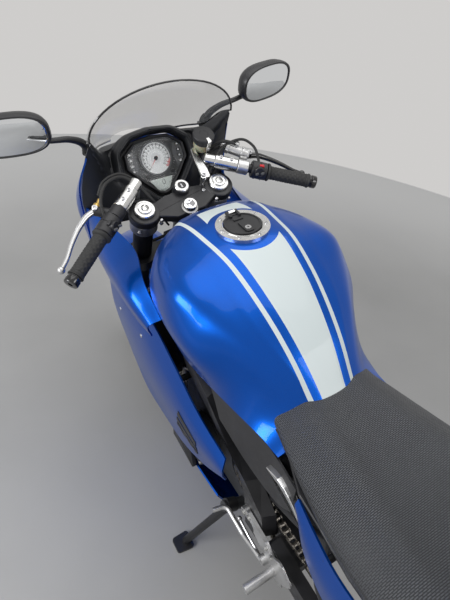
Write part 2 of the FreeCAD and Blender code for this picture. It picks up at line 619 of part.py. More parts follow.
def chain_loop(offset, x):
    """A face round both sprockets, so far outside their pitch circles."""
    front, rear = V(x, SPROCKET_Y, PIVOT_Z), V(x, REAR_AXLE.y, REAR_AXLE.z)
    small, large = FRONT_SPROCKET_R + offset, REAR_SPROCKET_R + offset
    line = unit(rear - front)
    lean = (small - large) / (rear - front).Length
    upright = V(0, line.z, -line.y)
    high, low = [line * lean + upright * (side * math.sqrt(1 - lean * lean)) for side in (1, -1)]
    edges = [Part.LineSegment(front + high * small, rear + high * large).toShape(),
             Part.Arc(rear + high * large, rear + line * large, rear + low * large).toShape(),
             Part.LineSegment(rear + low * large, front + low * small).toShape(),
             Part.Arc(front + low * small, front - line * small, front + high * small).toShape()]
    return Part.Face(Part.Wire(edges))


def chain():
    """The chain as one fixed loop around both sprockets."""
    x = CHAIN_X - CHAIN_W / 2
    body = chain_loop(CHAIN_H / 2, x).extrude(V(CHAIN_W, 0, 0))
    return body.cut(chain_loop(-CHAIN_H / 2, x).extrude(V(CHAIN_W, 0, 0)))


def arm_outline(rise=0.0):
    """The swingarm's side outline from the pivot to the axle, its top edge raised by the rise."""
    y, z = REAR_AXLE.y, REAR_AXLE.z
    return [(-190, 412 + rise), (-190, 352), (-420, 332), (y + 47, z - ARM_END), (y - 44, z - ARM_END),
            (y - 44, z + ARM_END + rise), (y + 57, z + ARM_END + 8 + rise), (y + 297, 402 + rise)]


def swingarm():
    """Two box arms behind a pivot tube, with the axle held between their ends."""
    pivot = across(-114, 114, PIVOT_Y, PIVOT_Z, 24)
    cross = side_plate([(-140, 409), (-140, 361), (-262, 352), (-262, 398)], -ARM_X_OUT, ARM_X_OUT, 6)
    plate_room = Part.makeBox(60, 60, 90, V(PIVOT_PLATE_X - FACE_GAP * 5, PIVOT_Y - 58, PIVOT_Z - 45))
    cross = cross.cut(pair(plate_room))
    arm = side_plate(arm_outline(), ARM_X_IN, ARM_X_OUT, 8)
    body = fuse([pivot, cross, arm, mirrored(arm)])
    shaft = across(-200, 200, PIVOT_Y, PIVOT_Z, PIVOT_R)
    slot = across(-200, 200, REAR_AXLE.y, REAR_AXLE.z, REAR_AXLE_R)
    for side in (-1, 1):
        floor = side * (ARM_X_OUT - SPOOL_DEPTH)
        start, end = sorted((floor, side * ARM_X_OUT))
        drill_point = Part.makeCone(SPOOL_R, 0, SPOOL_R * DRILL_POINT, V(floor, SPOOL_Y, SPOOL_Z), V(-side, 0, 0))
        body = body.cut(across(start, end, SPOOL_Y, SPOOL_Z, SPOOL_R)).cut(drill_point)
    return body.cut(shaft).cut(slot)


def rear_axle():
    """The rear axle with its nuts and the spacers to the wheel."""
    y, z = REAR_AXLE.y, REAR_AXLE.z
    rod = across(-ARM_X_OUT - 14, ARM_X_OUT + 14, y, z, REAR_AXLE_R)
    heads = [across(s * ARM_X_OUT, s * (ARM_X_OUT + 9), y, z, 18) for s in (-1, 1)]
    left = across(CHAIN_X - SPROCKET_T / 2 - FACE_GAP, -ARM_X_IN, y, z, 16)
    right = across(REAR_DISC_X + DISC_T / 2 + FACE_GAP, ARM_X_IN, y, z, 16)
    return fuse([rod, left, right] + heads)


def rear_caliper():
    """The rear caliper above the disc, on a bracket from the axle spacer."""
    y, z = REAR_AXLE.y, REAR_AXLE.z
    body = Part.makeBox(44, 78, 46, V(REAR_DISC_X - 18, y + 46, z + 62))
    slot = Part.makeBox(DISC_T + 8, 120, 60, V(REAR_DISC_X - DISC_T / 2 - 4, y + 20, z + 44))
    bracket = side_plate([(y - 16, z - 12), (y + 10, z - 20), (y + 112, z + 58), (y + 112, z + 96), (y + 60, z + 96)],
                         REAR_DISC_X + 10, REAR_DISC_X + 22, 6)
    bracket = bracket.cut(across(80, 130, y, z, 16))
    return fuse([body.cut(slot), bracket])


def rear_shock():
    """The rear damper and spring, from the swingarm's cross box up to the frame."""
    low, high = V(0, -222, 404), V(0, -96, 606)
    line = unit(high - low)
    spring = cyl(low + line * 52, high - line * 46, 33)
    body = cyl(low, high, 14)
    eye = across(-16, 16, low.y, low.z + 8, 13)
    top = across(-16, 16, high.y, high.z, 13)
    canister = cyl(V(44, -150, 520), V(44, -150, 590), 18)
    link = cyl(V(20, -146, 556), V(44, -150, 556), 9)
    solid = fuse([spring, body, eye, top, canister, link])
    return solid


def hugger():
    """The rear mudguard on the swingarm: a sheet turned about the axle."""
    y, z = REAR_AXLE.y, REAR_AXLE.z
    inner_r, outer_r, width = REAR_TYRE_R + HUGGER_GAP, REAR_TYRE_R + HUGGER_GAP + HUGGER_T, 94.0
    profile = [(-width, outer_r - 66), (-width + 14, outer_r - 16), (-40, outer_r), (40, outer_r),
               (width - 14, outer_r - 16), (width, outer_r - 66), (width - 4, outer_r - 66),
               (width - 17, inner_r - 16), (40, inner_r), (-40, inner_r), (-width + 17, inner_r - 16),
               (-width + 4, outer_r - 66)]
    points = [V(x, y, z + r) for x, r in profile]
    face = Part.Face(Part.makePolygon(points + [points[0]]))
    face.rotate(V(0, y, z), V(1, 0, 0), -16)
    sheet = face.revolve(V(0, y, z), V(1, 0, 0), -56)
    foot = side_plate([(y + outer_r + 36, z + 81), (y + outer_r - 114, z + 69), (y + outer_r - 104, z + 125),
                       (y + outer_r + 16, z + 155)], 92, ARM_X_IN + 6, 6)
    body = fuse([sheet, foot])
    return body.cut(side_plate(arm_outline(SEAT_GAP), ARM_X_IN - SEAT_GAP, ARM_X_OUT))


def radiator():
    """The radiator behind the front wheel, hung from the frame."""
    foot = FRONT_AXLE_Y - FRONT_TYRE_R - FENDER_GAP - FENDER_T - RADIATOR_GAP
    core = side_plate([(foot - 32, 372), (foot, 366), (foot + 62, 640), (foot + 30, 648)], -168, 168, 4)
    ends = [side_plate([(foot - 38, 374), (foot, 364), (foot + 66, 640), (foot + 24, 650)], s * 168, s * 182, 8)
            for s in (-1, 1)]
    stays = [cyl(V(s * 98, foot + 46, 636), V(s * 100, 326, 692), 7) for s in (-1, 1)]
    return fuse([core] + ends + stays)


def exhaust_headers():
    """Four header tubes from the cylinder heads, swept down and back to a collector box."""
    pipes = []
    for x in (-84, -28, 28, 84):
        points = [V(x, 244, 486), V(x, 316, 452), V(x, 318, 340), V(x * 0.8, 292, 226), V(x * 0.55, 150, 196)]
        pipes.append(tube(points, 17, 60))
    box = side_plate([(160, 226), (160, 162), (-90, 168), (-120, 200), (-90, 232)], -72, 72, 14)
    outlet = tube([V(50, -100, 205), V(150, -190, 236), V(196, -240, 262)], 24, 60)
    return fuse(pipes + [box, outlet])


def muffler():
    """The silencer low on the right, a rounded can with an outlet."""
    # columns: y, z, x, half width, half height
    stations = [(-236, 262, 200, 24, 28), (-270, 276, 208, 40, 56), (-470, 330, 214, 44, 64),
                (-540, 350, 216, 36, 50), (-560, 356, 216, 26, 34)]
    rings = []
    for y, z, x, wide, high in stations:
        ring = []
        for i in range(12):
            angle = math.radians(30 * i + 15)
            ring.append(V(x + wide * math.cos(angle), y, z + high * math.sin(angle)))
        rings.append(ring)
    strap = cyl(V(212, -352, 330), V(160, -262, 396), 7)
    hole = cyl(V(216, -561, 356), V(214, -520, 345), 20)
    return fuse([skin(rings), strap]).cut(hole)


# Bodywork

# Tank stations. Columns: y, crown z, crease x and z, shoulder x and z, flank x and z, foot x and z.
TANK = [
    (322, 907, 48, 903, 86, 876, 98, 830, 84, 784),
    (296, 938, 74, 930, 120, 892, 138, 838, 128, 760),
    (240, 959, 94, 948, 158, 904, 178, 852, 166, 740),
    (163, 963, 96, 951, 180, 912, 196, 866, 172, 736),
    (96, 958, 96, 946, 184, 912, 200, 866, 174, 735),
    (36, 936, 95, 923, 158, 894, 188, 846, 168, 735),
    (-30, 898, 87, 887, 122, 868, 146, 816, 158, 735),
    (-84, 853, 68, 845, 92, 830, 118, 785, 148, 733),
    (-138, 781, 42, 777, 66, 768, 98, 752, 138, 730),
    (-172, 739, 30, 739, 56, 738.5, 104, 738, 136, 731),
]
TANK_FLOOR = 16.0


def tank_ring(y, crown, crease_x, crease_z, shoulder_x, shoulder_z, flank_x, flank_z, foot_x, foot_z):
    half = [(crease_x * 0.55, crown - 0.22 * (crown - crease_z)), (crease_x, crease_z), (shoulder_x, shoulder_z),
            (flank_x, flank_z), (foot_x, foot_z), (foot_x - 26, foot_z - TANK_FLOOR * 0.4)]
    right = [V(x, y, z) for x, z in half]
    left = [V(-x, y, z) for x, z in reversed(half)]
    return [V(0, y, crown)] + right + left


def fuel_tank():
    body = skin([tank_ring(*row) for row in TANK])
    neck = cyl(V(0, FILLER_Y, FILLER_Z - NECK_DEPTH), V(0, FILLER_Y, FILLER_Z + 10), NECK_R)
    seat = cyl(V(0, FILLER_Y, FILLER_Z - 7), V(0, FILLER_Y, FILLER_Z + 10), FILLER_R)
    return body.cut(neck).cut(seat).cut(frame_top_room())


def frame_top_room():
    """The room under the tank for the head tube and the tops of the spars."""
    head = cyl(V(0, 0, 400), V(0, 0, 720), HEAD_R + 8)
    return on_fork(head)


HINGE_RISE, HINGE_PIN_R = 4.5, 1.5
HINGE_Y, HINGE_Z = FILLER_Y + LID_R + 6, FILLER_Z + RING_T + HINGE_RISE


def filler_ring():
    """The flange round the filler, let into the tank's crown."""
    low = FILLER_Z - 7
    ring = cyl(V(0, FILLER_Y, low), V(0, FILLER_Y, low + 7 + RING_T), FILLER_R)
    hole = cyl(V(0, FILLER_Y, low), V(0, FILLER_Y, low + 30), NECK_R)
    step = cyl(V(0, FILLER_Y, FILLER_Z - 1), V(0, FILLER_Y, low + 30), LID_R + 1.5)
    y, z = HINGE_Y, HINGE_Z
    barrel = fuse([across(-7, 7, y, z, 4), Part.makeBox(14, 8, HINGE_RISE, V(-7, y - 4, z - HINGE_RISE))])
    return fuse([ring.cut(hole).cut(step), barrel]).cut(across(-7, 7, y, z, HINGE_PIN_R + SHAFT_GAP))


def fuel_lid():
    """The filler's lid, hinged at its front edge, with a key flap."""
    base = FILLER_Z - 1 + SEAT_GAP
    disc = cyl(V(0, FILLER_Y, base), V(0, FILLER_Y, base + LID_T), LID_R)
    flap = level_plate([(-9, FILLER_Y - 32), (9, FILLER_Y - 32), (9, FILLER_Y + 8), (-9, FILLER_Y + 8)],
                       base + LID_T, base + LID_T + 3, 6)
    ears = []
    y, z = HINGE_Y, HINGE_Z
    for side in (-1, 1):
        arm = Part.makeBox(5, 18, 6, V(side * 10 - 2.5, y - 18, z - 3.8))
        ears += [arm, across(side * 10 - 2.5, side * 10 + 2.5, y, z, 3.8)]
    pin = across(-12.5, 12.5, y, z, HINGE_PIN_R)
    return fuse([disc, flap, pin] + ears)


# Rider's seat. Columns: y, centre z, ridge x and z, edge x and z.
RIDER_SEAT = [
    (-106, 786, 58, 786, 116, 756),
    (-140, 789, 62, 789, 118, 752),
    (-170, 793, 70, 793, 126, 752),
    (-246, 797, 75, 798, 143, 760),
    (-323, 800, 92, 801, 157, 764),
    (-404, 806, 112, 808, 165, 774),
    (-455, 824, 120, 826, 165, 790),
    (SEAT_SPLIT_Y, 834, 116, 837, 158, 800),
]
SEAT_BASE = [737, 733, 729, 722, 724, 732, 742, 748]
# Passenger's pad. Columns: y, centre z, ridge x and z, edge x and z.
PILLION = [
    (SEAT_SPLIT_Y - 2, 868, 84, 866, 112, 846),
    (-520, 884, 88, 881, 118, 856),
    (-620, 894, 80, 891, 106, 866),
    (-720, 900, 62, 897, 84, 876),
    (-764, 894, 44, 892, 62, 880),
]


def pad_ring(y, centre, ridge_x, ridge_z, edge_x, edge_z, base):
    half = [(ridge_x * 0.55, centre * 0.7 + ridge_z * 0.3), (ridge_x, ridge_z), ((ridge_x + edge_x) / 2 + 5,
            ridge_z * 0.62 + edge_z * 0.38), (edge_x, edge_z), (edge_x - 2, base + 4), (edge_x - 12, base)]
    right = [V(x, y, z) for x, z in half]
    left = [V(-x, y, z) for x, z in reversed(half)]
    return [V(0, y, centre)] + right + left


def between(table, y, column):
    """A column's value at a station between two rows of a table that runs from front to back."""
    for one, two in zip(table, table[1:]):
        if one[0] >= y >= two[0]:
            share = (one[0] - y) / (one[0] - two[0])
            return one[column] + share * (two[column] - one[column])
    return table[0][column] if y > table[0][0] else table[-1][column]


def rider_seat():
    return skin([pad_ring(*row, base) for row, base in zip(RIDER_SEAT, SEAT_BASE)])


def pillion_seat():
    return skin([pad_ring(*row, between(TAIL, row[0], 1) + SEAT_GAP) for row in PILLION])


# Tail. Columns: y, top z, top x, side x and z, low x and z.
TAIL = [
    (SEAT_SPLIT_Y - 3, 824, 112, 160, 800, 132, 742),
    (-560, 836, 112, 150, 812, 118, 762),
    (-660, 850, 92, 124, 830, 96, 788),
    (-764, 862, 58, 92, 850, 72, 818),
    (-840, 886, 40, 66, 872, 52, 842),
    (-896, 900, 22, 38, 890, 30, 866),
]


def tail_cowl():
    """The tail's body under and behind the passenger's pad."""
    rings = []
    for y, top, top_x, side_x, side_z, low_x, low_z in TAIL:
        half = [(top_x, top), (side_x, side_z), (low_x, low_z)]
        rings.append([V(x, y, z) for x, z in half] + [V(-x, y, z) for x, z in reversed(half)])
    return skin(rings)


# Tail side strips. Columns: y, upper x and z, lower x and z.
TAIL_SIDE = [
    (-246, 146, 720, 148, 690),
    (-300, 158, 721, 168, 650),
    (-375, 170, 727, 180, 634),
    (-440, 170, 740, 178, 676),
    (SEAT_SPLIT_Y - 2.5, 162, 746, 154, 722),
]


def tail_sides():
    """The strips along both sides below the rider's seat."""
    rows = []
    for y, top_x, top_z, low_x, low_z in TAIL_SIDE:
        middle = V((top_x + low_x) / 2 + 5, y, (top_z + low_z) / 2)
        rows.append([V(top_x, y, top_z), middle, V(low_x, y, low_z)])
    peg = across(RAIL_MID.x, 168, -340, 708, 6)
    return pair(fuse([panel(rows, PANEL_T, V(0, -350, 600)), peg]))


# Side cover rows, front to back. Columns: three points down the cover, each x, y, z.
SIDE_COVER = [
    ((156, 40, 730), (160, 10, 700), (165, -20, 668)),
    ((148, -60, 728), (150, -90, 680), (150, -110, 606)),
    ((136, -130, 724), (140, -170, 670), (140, -190, 590)),
    ((140, -232, 718), (144, -234, 690), (142, -236, 640)),
]


def row_of(points):
    return [V(*p) for p in points]


def side_covers():
    """Black infill panels between the tank's foot, the seat and the frame."""
    rows = [row_of(row) for row in SIDE_COVER]
    peg = across(104, 141, -192, 672, 7)
    return pair(fuse([panel(rows, PANEL_T, V(0, -100, 600)), peg]))


# Nose rows, front to back. Columns: five points from the centre line to the jaw, each x, y, z.
NOSE = [
    ((0, 852, 770), (29, 851, 774), (58, 842, 772), (92, 822, 752), (70, 826, 716)),
    ((0, 842, 842), (42, 834, 842), (84, 818, 836), (140, 776, 806), (112, 790, 690)),
    ((0, 806, 896), (55, 794, 896), (110, 774, 890), (180, 710, 854), (172, 716, 700)),
    ((0, 792, 908), (69, 763, 918), (140, 726, 920), (206, 662, 850), (205, 642, 716)),
    ((0, 785, 916), (92, 718, 926), (166, 632, 950), (208, 626, 878), (208, 620, 732)),
    ((0, 778, 922), (112, 680, 934), (187, 536, 1002), (208, 592, 905), (210, 600, 748)),
]


def nose_fairing():
    """The nose: a shell from the beak back to the cockpit, open behind."""
    rows = []
    for row in NOSE:
        right = row_of(row)
        rows.append([V(-p.x, p.y, p.z) for p in reversed(right[1:])] + right)
    return panel(rows, PANEL_T, V(0, 600, 800))


def fairing_stay():
    """The stay from the head tube that carries the dash, the nose and the mirrors."""
    root = FORK_PLACE.multVec(V(0, HEAD_R - 4, 545))
    post = tube([root, V(0, 574, 796), V(0, 642, 838), V(0, 650, 905)], 10, 30)
    bar = tube([V(-164, 612, 976), V(-146, 640, 930), V(0, 650, 905), V(146, 640, 930), V(164, 612, 976)], 8, 30)
    dash_arm = cyl(V(0, 648, 884), V(0, 596, 884), 7)
    return fuse([post, bar, dash_arm])


# Screen rows, front to back. Columns: y and z of the middle, half width, drop and set-back of the edge.
SCREEN = [
    (784, 943, 62, 10, 28),
    (716, 996, 118, 28, 54),
    (640, 1052, 154, 57, 50),
    (560, 1110, 174, 82, 10),
    (477, 1148, 179, 102, -29),
]
SCREEN_FACETS = 8


def windscreen():
    """The clear screen: each row is half an ellipse from edge to edge."""
    rows = []
    for y, z, half, drop, back in SCREEN:
        angles = [math.pi * (1 - i / SCREEN_FACETS) for i in range(SCREEN_FACETS + 1)]
        rows.append([V(half * math.cos(a), y - back * (1 - math.sin(a)), z - drop * (1 - math.sin(a))) for a in angles])
    return panel(rows, SCREEN_T, V(0, 600, 900))


def cockpit_panel():
    """The black inner panel from the screen's foot down past both sides of the dash."""
    # columns: x, y, z of the outer edge, then of the inner edge
    edges = [((178, 544, 998), (98, 604, 984)), ((192, 568, 946), (110, 580, 930)), ((203, 594, 880), (104, 572, 872)),
             ((205, 598, 800), (86, 560, 812))]
    rows = []
    for outer, inner in edges:
        outer_v, inner_v = V(*outer), V(*inner)
        rows.append([outer_v, (outer_v + inner_v) * 0.5 + V(0, 6, 0), inner_v])
    wing = panel(rows, PANEL_T, V(100, 800, 700))
    return pair(wing)


DASH_CENTRE = V(0, 584, 935)
DASH_TILT = 27.0
DASH_FACE = FreeCAD.Placement(DASH_CENTRE, FreeCAD.Rotation(V(1, 0, 0), 90 - DASH_TILT))


def on_dash(shape):
    """Places a piece drawn with x across, y up the dash and z out of its face."""
    placed = shape.copy()
    placed.Placement = DASH_FACE.multiply(placed.Placement)
    return placed


# Dash outline, x and y on its face, right half from the top.
DASH_HALF = [(0, 66), (52, 60), (94, 30), (96, -16), (58, -62), (22, -98), (0, -104)]


def dash_loop(scale, depth_from, depth_to):
    half = [(x * scale, y * scale) for x, y in DASH_HALF]
    outline = half + [(-x, y) for x, y in reversed(half[1:-1])]
    return level_plate(outline, depth_from, depth_to, 14)


def dash():
    """The instrument housing: a bowl with a dial, a display and a raised rim."""
    body = dash_loop(1.0, -46, 6)
    well = dash_loop(0.92, -4, 12)
    dial = Part.makeCylinder(40, 3, V(0, 0, -4))
    lcd = level_plate([(-34, -44), (34, -44), (14, -88), (-14, -88)], -4, -2, 5)
    hood = dash_loop(1.06, -10, 22).cut(dash_loop(1.0, -12, 30))
    lower = Part.makeBox(300, 120, 60, V(-150, -150, -12))
    return on_dash(fuse([body.cut(well), dial, lcd, hood.cut(lower)]))


MIRROR_CENTRE = V(325, 581, 1071)


def mirror_place(shape):
    placed = shape.copy()
    turn = FreeCAD.Rotation(V(0, 0, 1), 12).multiply(FreeCAD.Rotation(V(1, 0, 0), 8))
    placed.Placement = FreeCAD.Placement(MIRROR_CENTRE, turn).multiply(placed.Placement)
    return placed


MIRROR_HALF_W, MIRROR_HALF_H = 88.0, 47.0


def mirror_ring(scale, y):
    ring = []
    for i in range(16):
        angle = math.radians(22.5 * i)
        c, s = math.cos(angle), math.sin(angle)
        x = MIRROR_HALF_W * scale * math.copysign(abs(c) ** 0.75, c)
        z = MIRROR_HALF_H * scale * math.copysign(abs(s) ** 0.75, s)
        ring.append(V(x, y, z))
    return ring


def mirrors():
    """Mirror shells on stalks from the nose."""
    rings = ((0.90, -16), (1.0, -8), (0.94, 10), (0.66, 28), (0.30, 36))
    shell = skin([mirror_ring(scale, y) for scale, y in rings])
    shell = shell.cut(skin([mirror_ring(0.84, -17), mirror_ring(0.84, -12)]))
    stalk = tube([V(160, 612, 990), V(188, 602, 1020), V(246, 590, 1036), V(304, 593, 1056)], 8, 30)
    base = level_plate([(144, 592), (178, 588), (176, 632), (142, 638)], 974, 996, 8)
    return pair(fuse([mirror_place(shell), stalk, base]))


def mirror_glasses():
    glass = skin([mirror_ring(0.83, -15), mirror_ring(0.83, -12.0)])
    return pair(mirror_place(glass))


# Side fairing, rear to front. Columns: three points down the panel, each x, y, z.
SIDE_UPPER = [
    ((182, 196, 772), (210, 206, 758), (204, 214, 716)),
    ((184, 262, 822), (220, 262, 798), (210, 262, 716)),
    ((160, 376, 838), (220, 384, 802), (212, 392, 706)),
    ((172, 478, 842), (217, 480, 800), (208, 486, 690)),
    ((203, 602, 846), (205, 606, 790), (204, 614, 712)),
]
SIDE_LOWER = [
    ((177, -60, 584), (190, -68, 556), (178, -62, 496)),
    ((181, 52, 610), (196, 60, 574), (184, 50, 404)),
    ((183, 160, 668), (200, 168, 610), (188, 150, 352)),
    ((185, 262, 712), (203, 270, 640), (190, 262, 330)),
    ((203, 392, 704), (208, 420, 600), (194, 380, 336)),
    ((204, 500, 688), (206, 506, 600), (198, 452, 420)),
]


def side_fairing(upper, lower):
    middle = V(0, 300, 600)
    pieces = [panel([row_of(row) for row in upper], PANEL_T, middle),
              panel([row_of(row) for row in lower], PANEL_T, middle)]
    return pieces


# Belly. Columns: y, side x and z, keel x and z.
BELLY = [
    (14, 164, 262, 76, 128),
    (80, 170, 270, 82, 122),
    (200, 177, 280, 84, 124),
    (330, 176, 300, 80, 152),
    (392, 164, 326, 66, 214),
]


def belly_fairing():
    rows = []
    for y, side_x, side_z, keel_x, keel_z in BELLY:
        half = [V(keel_x, y, keel_z), V((keel_x + side_x) / 2 + 8, y, keel_z * 0.62 + side_z * 0.38), V(side_x, y, side_z)]
        left = [V(-p.x, p.y, p.z) for p in reversed(half)]
        rows.append(left + half)
    return panel(rows, PANEL_T, V(0, 150, 420))


def fairing_links():
    """Tabs that join the side panels to the belly and the frame."""
    return side_plate([(110, 372), (230, 352), (238, 276), (100, 270)], 171, 187, 10)


def tail_light():
    rings = []
    for y, half_x, low, high in ((-896.3, 36, 868, 898), (-912, 30, 872, 896)):
        rings.append([V(half_x, y, low), V(half_x + 4, y, (low + high) / 2), V(half_x - 8, y, high),
                      V(-half_x + 8, y, high), V(-half_x - 4, y, (low + high) / 2), V(-half_x, y, low)])
    return skin(rings)


PLATE_HOLE_R = 3.0
PLATE_HOLE_X, PLATE_HOLE_Z, PLATE_BACK_Y, PLATE_REST_T = 55.0, 730.0, -1008.0, 4.0


def plate_holder():
    """The arm that carries the number plate and its lamp below the tail."""
    arm = side_plate([(-800, 838), (-880, 862), (-940, 800), (-1006, 760), (-1000, 740), (-930, 776), (-860, 820)],
                     -34, 34, 6)
    rest = Part.makeBox(150, PLATE_REST_T, 96, V(-75, PLATE_BACK_Y - PLATE_REST_T, 664))
    back = Part.makeBox(60, 10, 70, V(-30, PLATE_BACK_Y, 690))
    body = fuse([arm, back, rest])
    for side in (-1, 1):
        hole_x = side * PLATE_HOLE_X
        body = body.cut(cyl(V(hole_x, -1020, PLATE_HOLE_Z), V(hole_x, -1000, PLATE_HOLE_Z), PLATE_HOLE_R))
    return body


def indicators():
    """Four turn lamps on short stalks: two on the nose, two on the plate holder."""
    pieces = []
    for side in (-1, 1):
        stalk = across(side * 34, side * 96, -952, 776, 6)
        lamp = fuse([across(side * 90, side * 130, -952, 776, 15), Part.makeSphere(15, V(side * 130, -952, 776))])
        pieces.append(fuse([stalk, lamp]))
    return Part.makeCompound(pieces)


def footrests():
    """The rider's pegs, heel guards and pedals on plates outside the frame."""
    plate = side_plate([(-96, 398), (-120, 430), (-190, 420), (-250, 372), (-262, 320), (-232, 318), (-190, 360)],
                       150, 158, 10)
    peg = across(158, 232, -228, 352, 11)
    hub = across(147, 160, -110, 412, 12)
    guard = side_plate([(-206, 400), (-262, 356), (-290, 420), (-246, 452)], 158, 162, 12)
    pedal = tube([V(166, -196, 342), V(168, -120, 318), V(170, -46, 330), V(204, -40, 332)], 6, 16)
    boss = across(157, 170, -196, 342, 12)
    return pair(fuse([plate, peg, hub, guard, pedal, boss]).cut(across(140, 160, PIVOT_Y, PIVOT_Z, 18)))


def passenger_pegs():
    """The passenger's pegs on hangers from the subframe."""
    arm = tube([V(112, -300, 628), V(150, -330, 560), V(158, -402, 500)], 8, 40)
    peg = across(158, 226, -404, 498, 10)
    foot = Part.makeSphere(10, V(158, -403, 499))
    return pair(fuse([arm, foot, peg]))


# Stance: the steering's turn, the lean and the drop onto the floor

def turn_about(point, axis, degrees):
    spin = FreeCAD.Rotation(axis, degrees)
    return FreeCAD.Placement(point - spin.multVec(point), spin)


STEER_TURN = turn_about(STEER_ORIGIN, STEER_AXIS, STEER)


def lowest_point(profile, axle, axis):
    """The lowest point of a turned profile on an axle that may lean and steer."""
    down = unit(V(axis.x * axis.z, axis.y * axis.z, axis.z * axis.z - 1))
    return min([axle + axis * x + down * r for x, r in profile], key=lambda point: point.z)


def stance():
    """The turn that leans the bike to the left and sets both tyres on the floor."""
    place = turn_about(V(0, 0, 0), V(0, 1, 0), -LEAN)
    front_profile = tyre_profile(FRONT_TYRE_R, FRONT_TYRE_W, FRONT_RIM_W)
    rear_profile = tyre_profile(REAR_TYRE_R, REAR_TYRE_W, REAR_RIM_W)
    for _ in range(4):
        front = place.multiply(STEER_TURN)
        front_low = lowest_point(front_profile, front.multVec(FRONT_AXLE), front.Rotation.multVec(V(1, 0, 0)))
        rear_low = lowest_point(rear_profile, place.multVec(REAR_AXLE), place.Rotation.multVec(V(1, 0, 0)))
        pitch = math.degrees(math.atan2(front_low.z - rear_low.z, front_low.y - rear_low.y))
        place = turn_about(rear_low, V(1, 0, 0), -pitch).multiply(place)
        place = FreeCAD.Placement(V(0, 0, -rear_low.z), FreeCAD.Rotation()).multiply(place)
    return place


STANCE = stance()


def stand_foot():
    """The side stand's foot on the floor, in the leaning bike's world."""
    spot = STANCE.multVec(V(STAND_FOOT_X, STAND_FOOT_Y, -STAND_FOOT_X * math.tan(math.radians(LEAN))))
    return V(spot.x, spot.y, 0)


def side_stand():
    """The stand's leg, hub and foot plate, drawn where they rest on the floor."""
    hinge = STANCE.multVec(STAND_PIVOT)
    foot = stand_foot()
    ankle = foot + V(0, 0, 8)
    leg = cyl(hinge, ankle, STAND_R)
    plate = level_plate([(foot.x - 34, foot.y - 22), (foot.x + 16, foot.y - 26), (foot.x + 16, foot.y + 26),
                         (foot.x - 34, foot.y + 22)], 0, 8, 8)
    axis = stand_axis()
    hub = cyl(hinge - axis * 14, hinge + axis * 14, 18)
    hub_hole = cyl(hinge - axis * 20, hinge + axis * 20, STAND_PIN_R + SHAFT_GAP)
    floor_cut = Part.makeBox(400, 400, 100, foot + V(-200, -200, -100))
    return fuse([leg, plate, hub]).cut(hub_hole).cut(floor_cut)


def stand_axis():
    """The hinge line that swings the leg from the floor up along the bike's left side."""
    down = unit(stand_foot() - STANCE.multVec(STAND_PIVOT))
    folded = unit(STANCE.Rotation.multVec(STAND_FOLDED))
    return unit(down.cross(folded))


def stand_fold():
    """The angle from the floor to the folded place."""
    down = unit(stand_foot() - STANCE.multVec(STAND_PIVOT))
    folded = unit(STANCE.Rotation.multVec(STAND_FOLDED))
    return math.degrees(math.acos(down.dot(folded)))


def stand_bracket(block):
    """The lug on the crankcase, with the fixed pin that the stand turns on."""
    hinge, axis = STANCE.multVec(STAND_PIVOT), stand_axis()
    pin = cyl(hinge - axis * 16, hinge + axis * 22, STAND_PIN_R)
    head = cyl(hinge + axis * 14.5, hinge + axis * 22, 13)
    lug = cyl(hinge - axis * 56, hinge - axis * 14.5, 15)
    return fuse([pin, head, lug]).cut(block)


def side_pieces():
    upper, lower = side_fairing(SIDE_UPPER, SIDE_LOWER)
    links = fairing_links()
    high_peg = across(100, 210, 330, 738, 7)
    seam_peg = side_plate([(360, 722), (410, 722), (420, 690), (350, 690)], 202, 209, 6)
    low_peg = across(113, 192, 190, 560, 8)
    return upper, lower, links, high_peg, seam_peg, low_peg


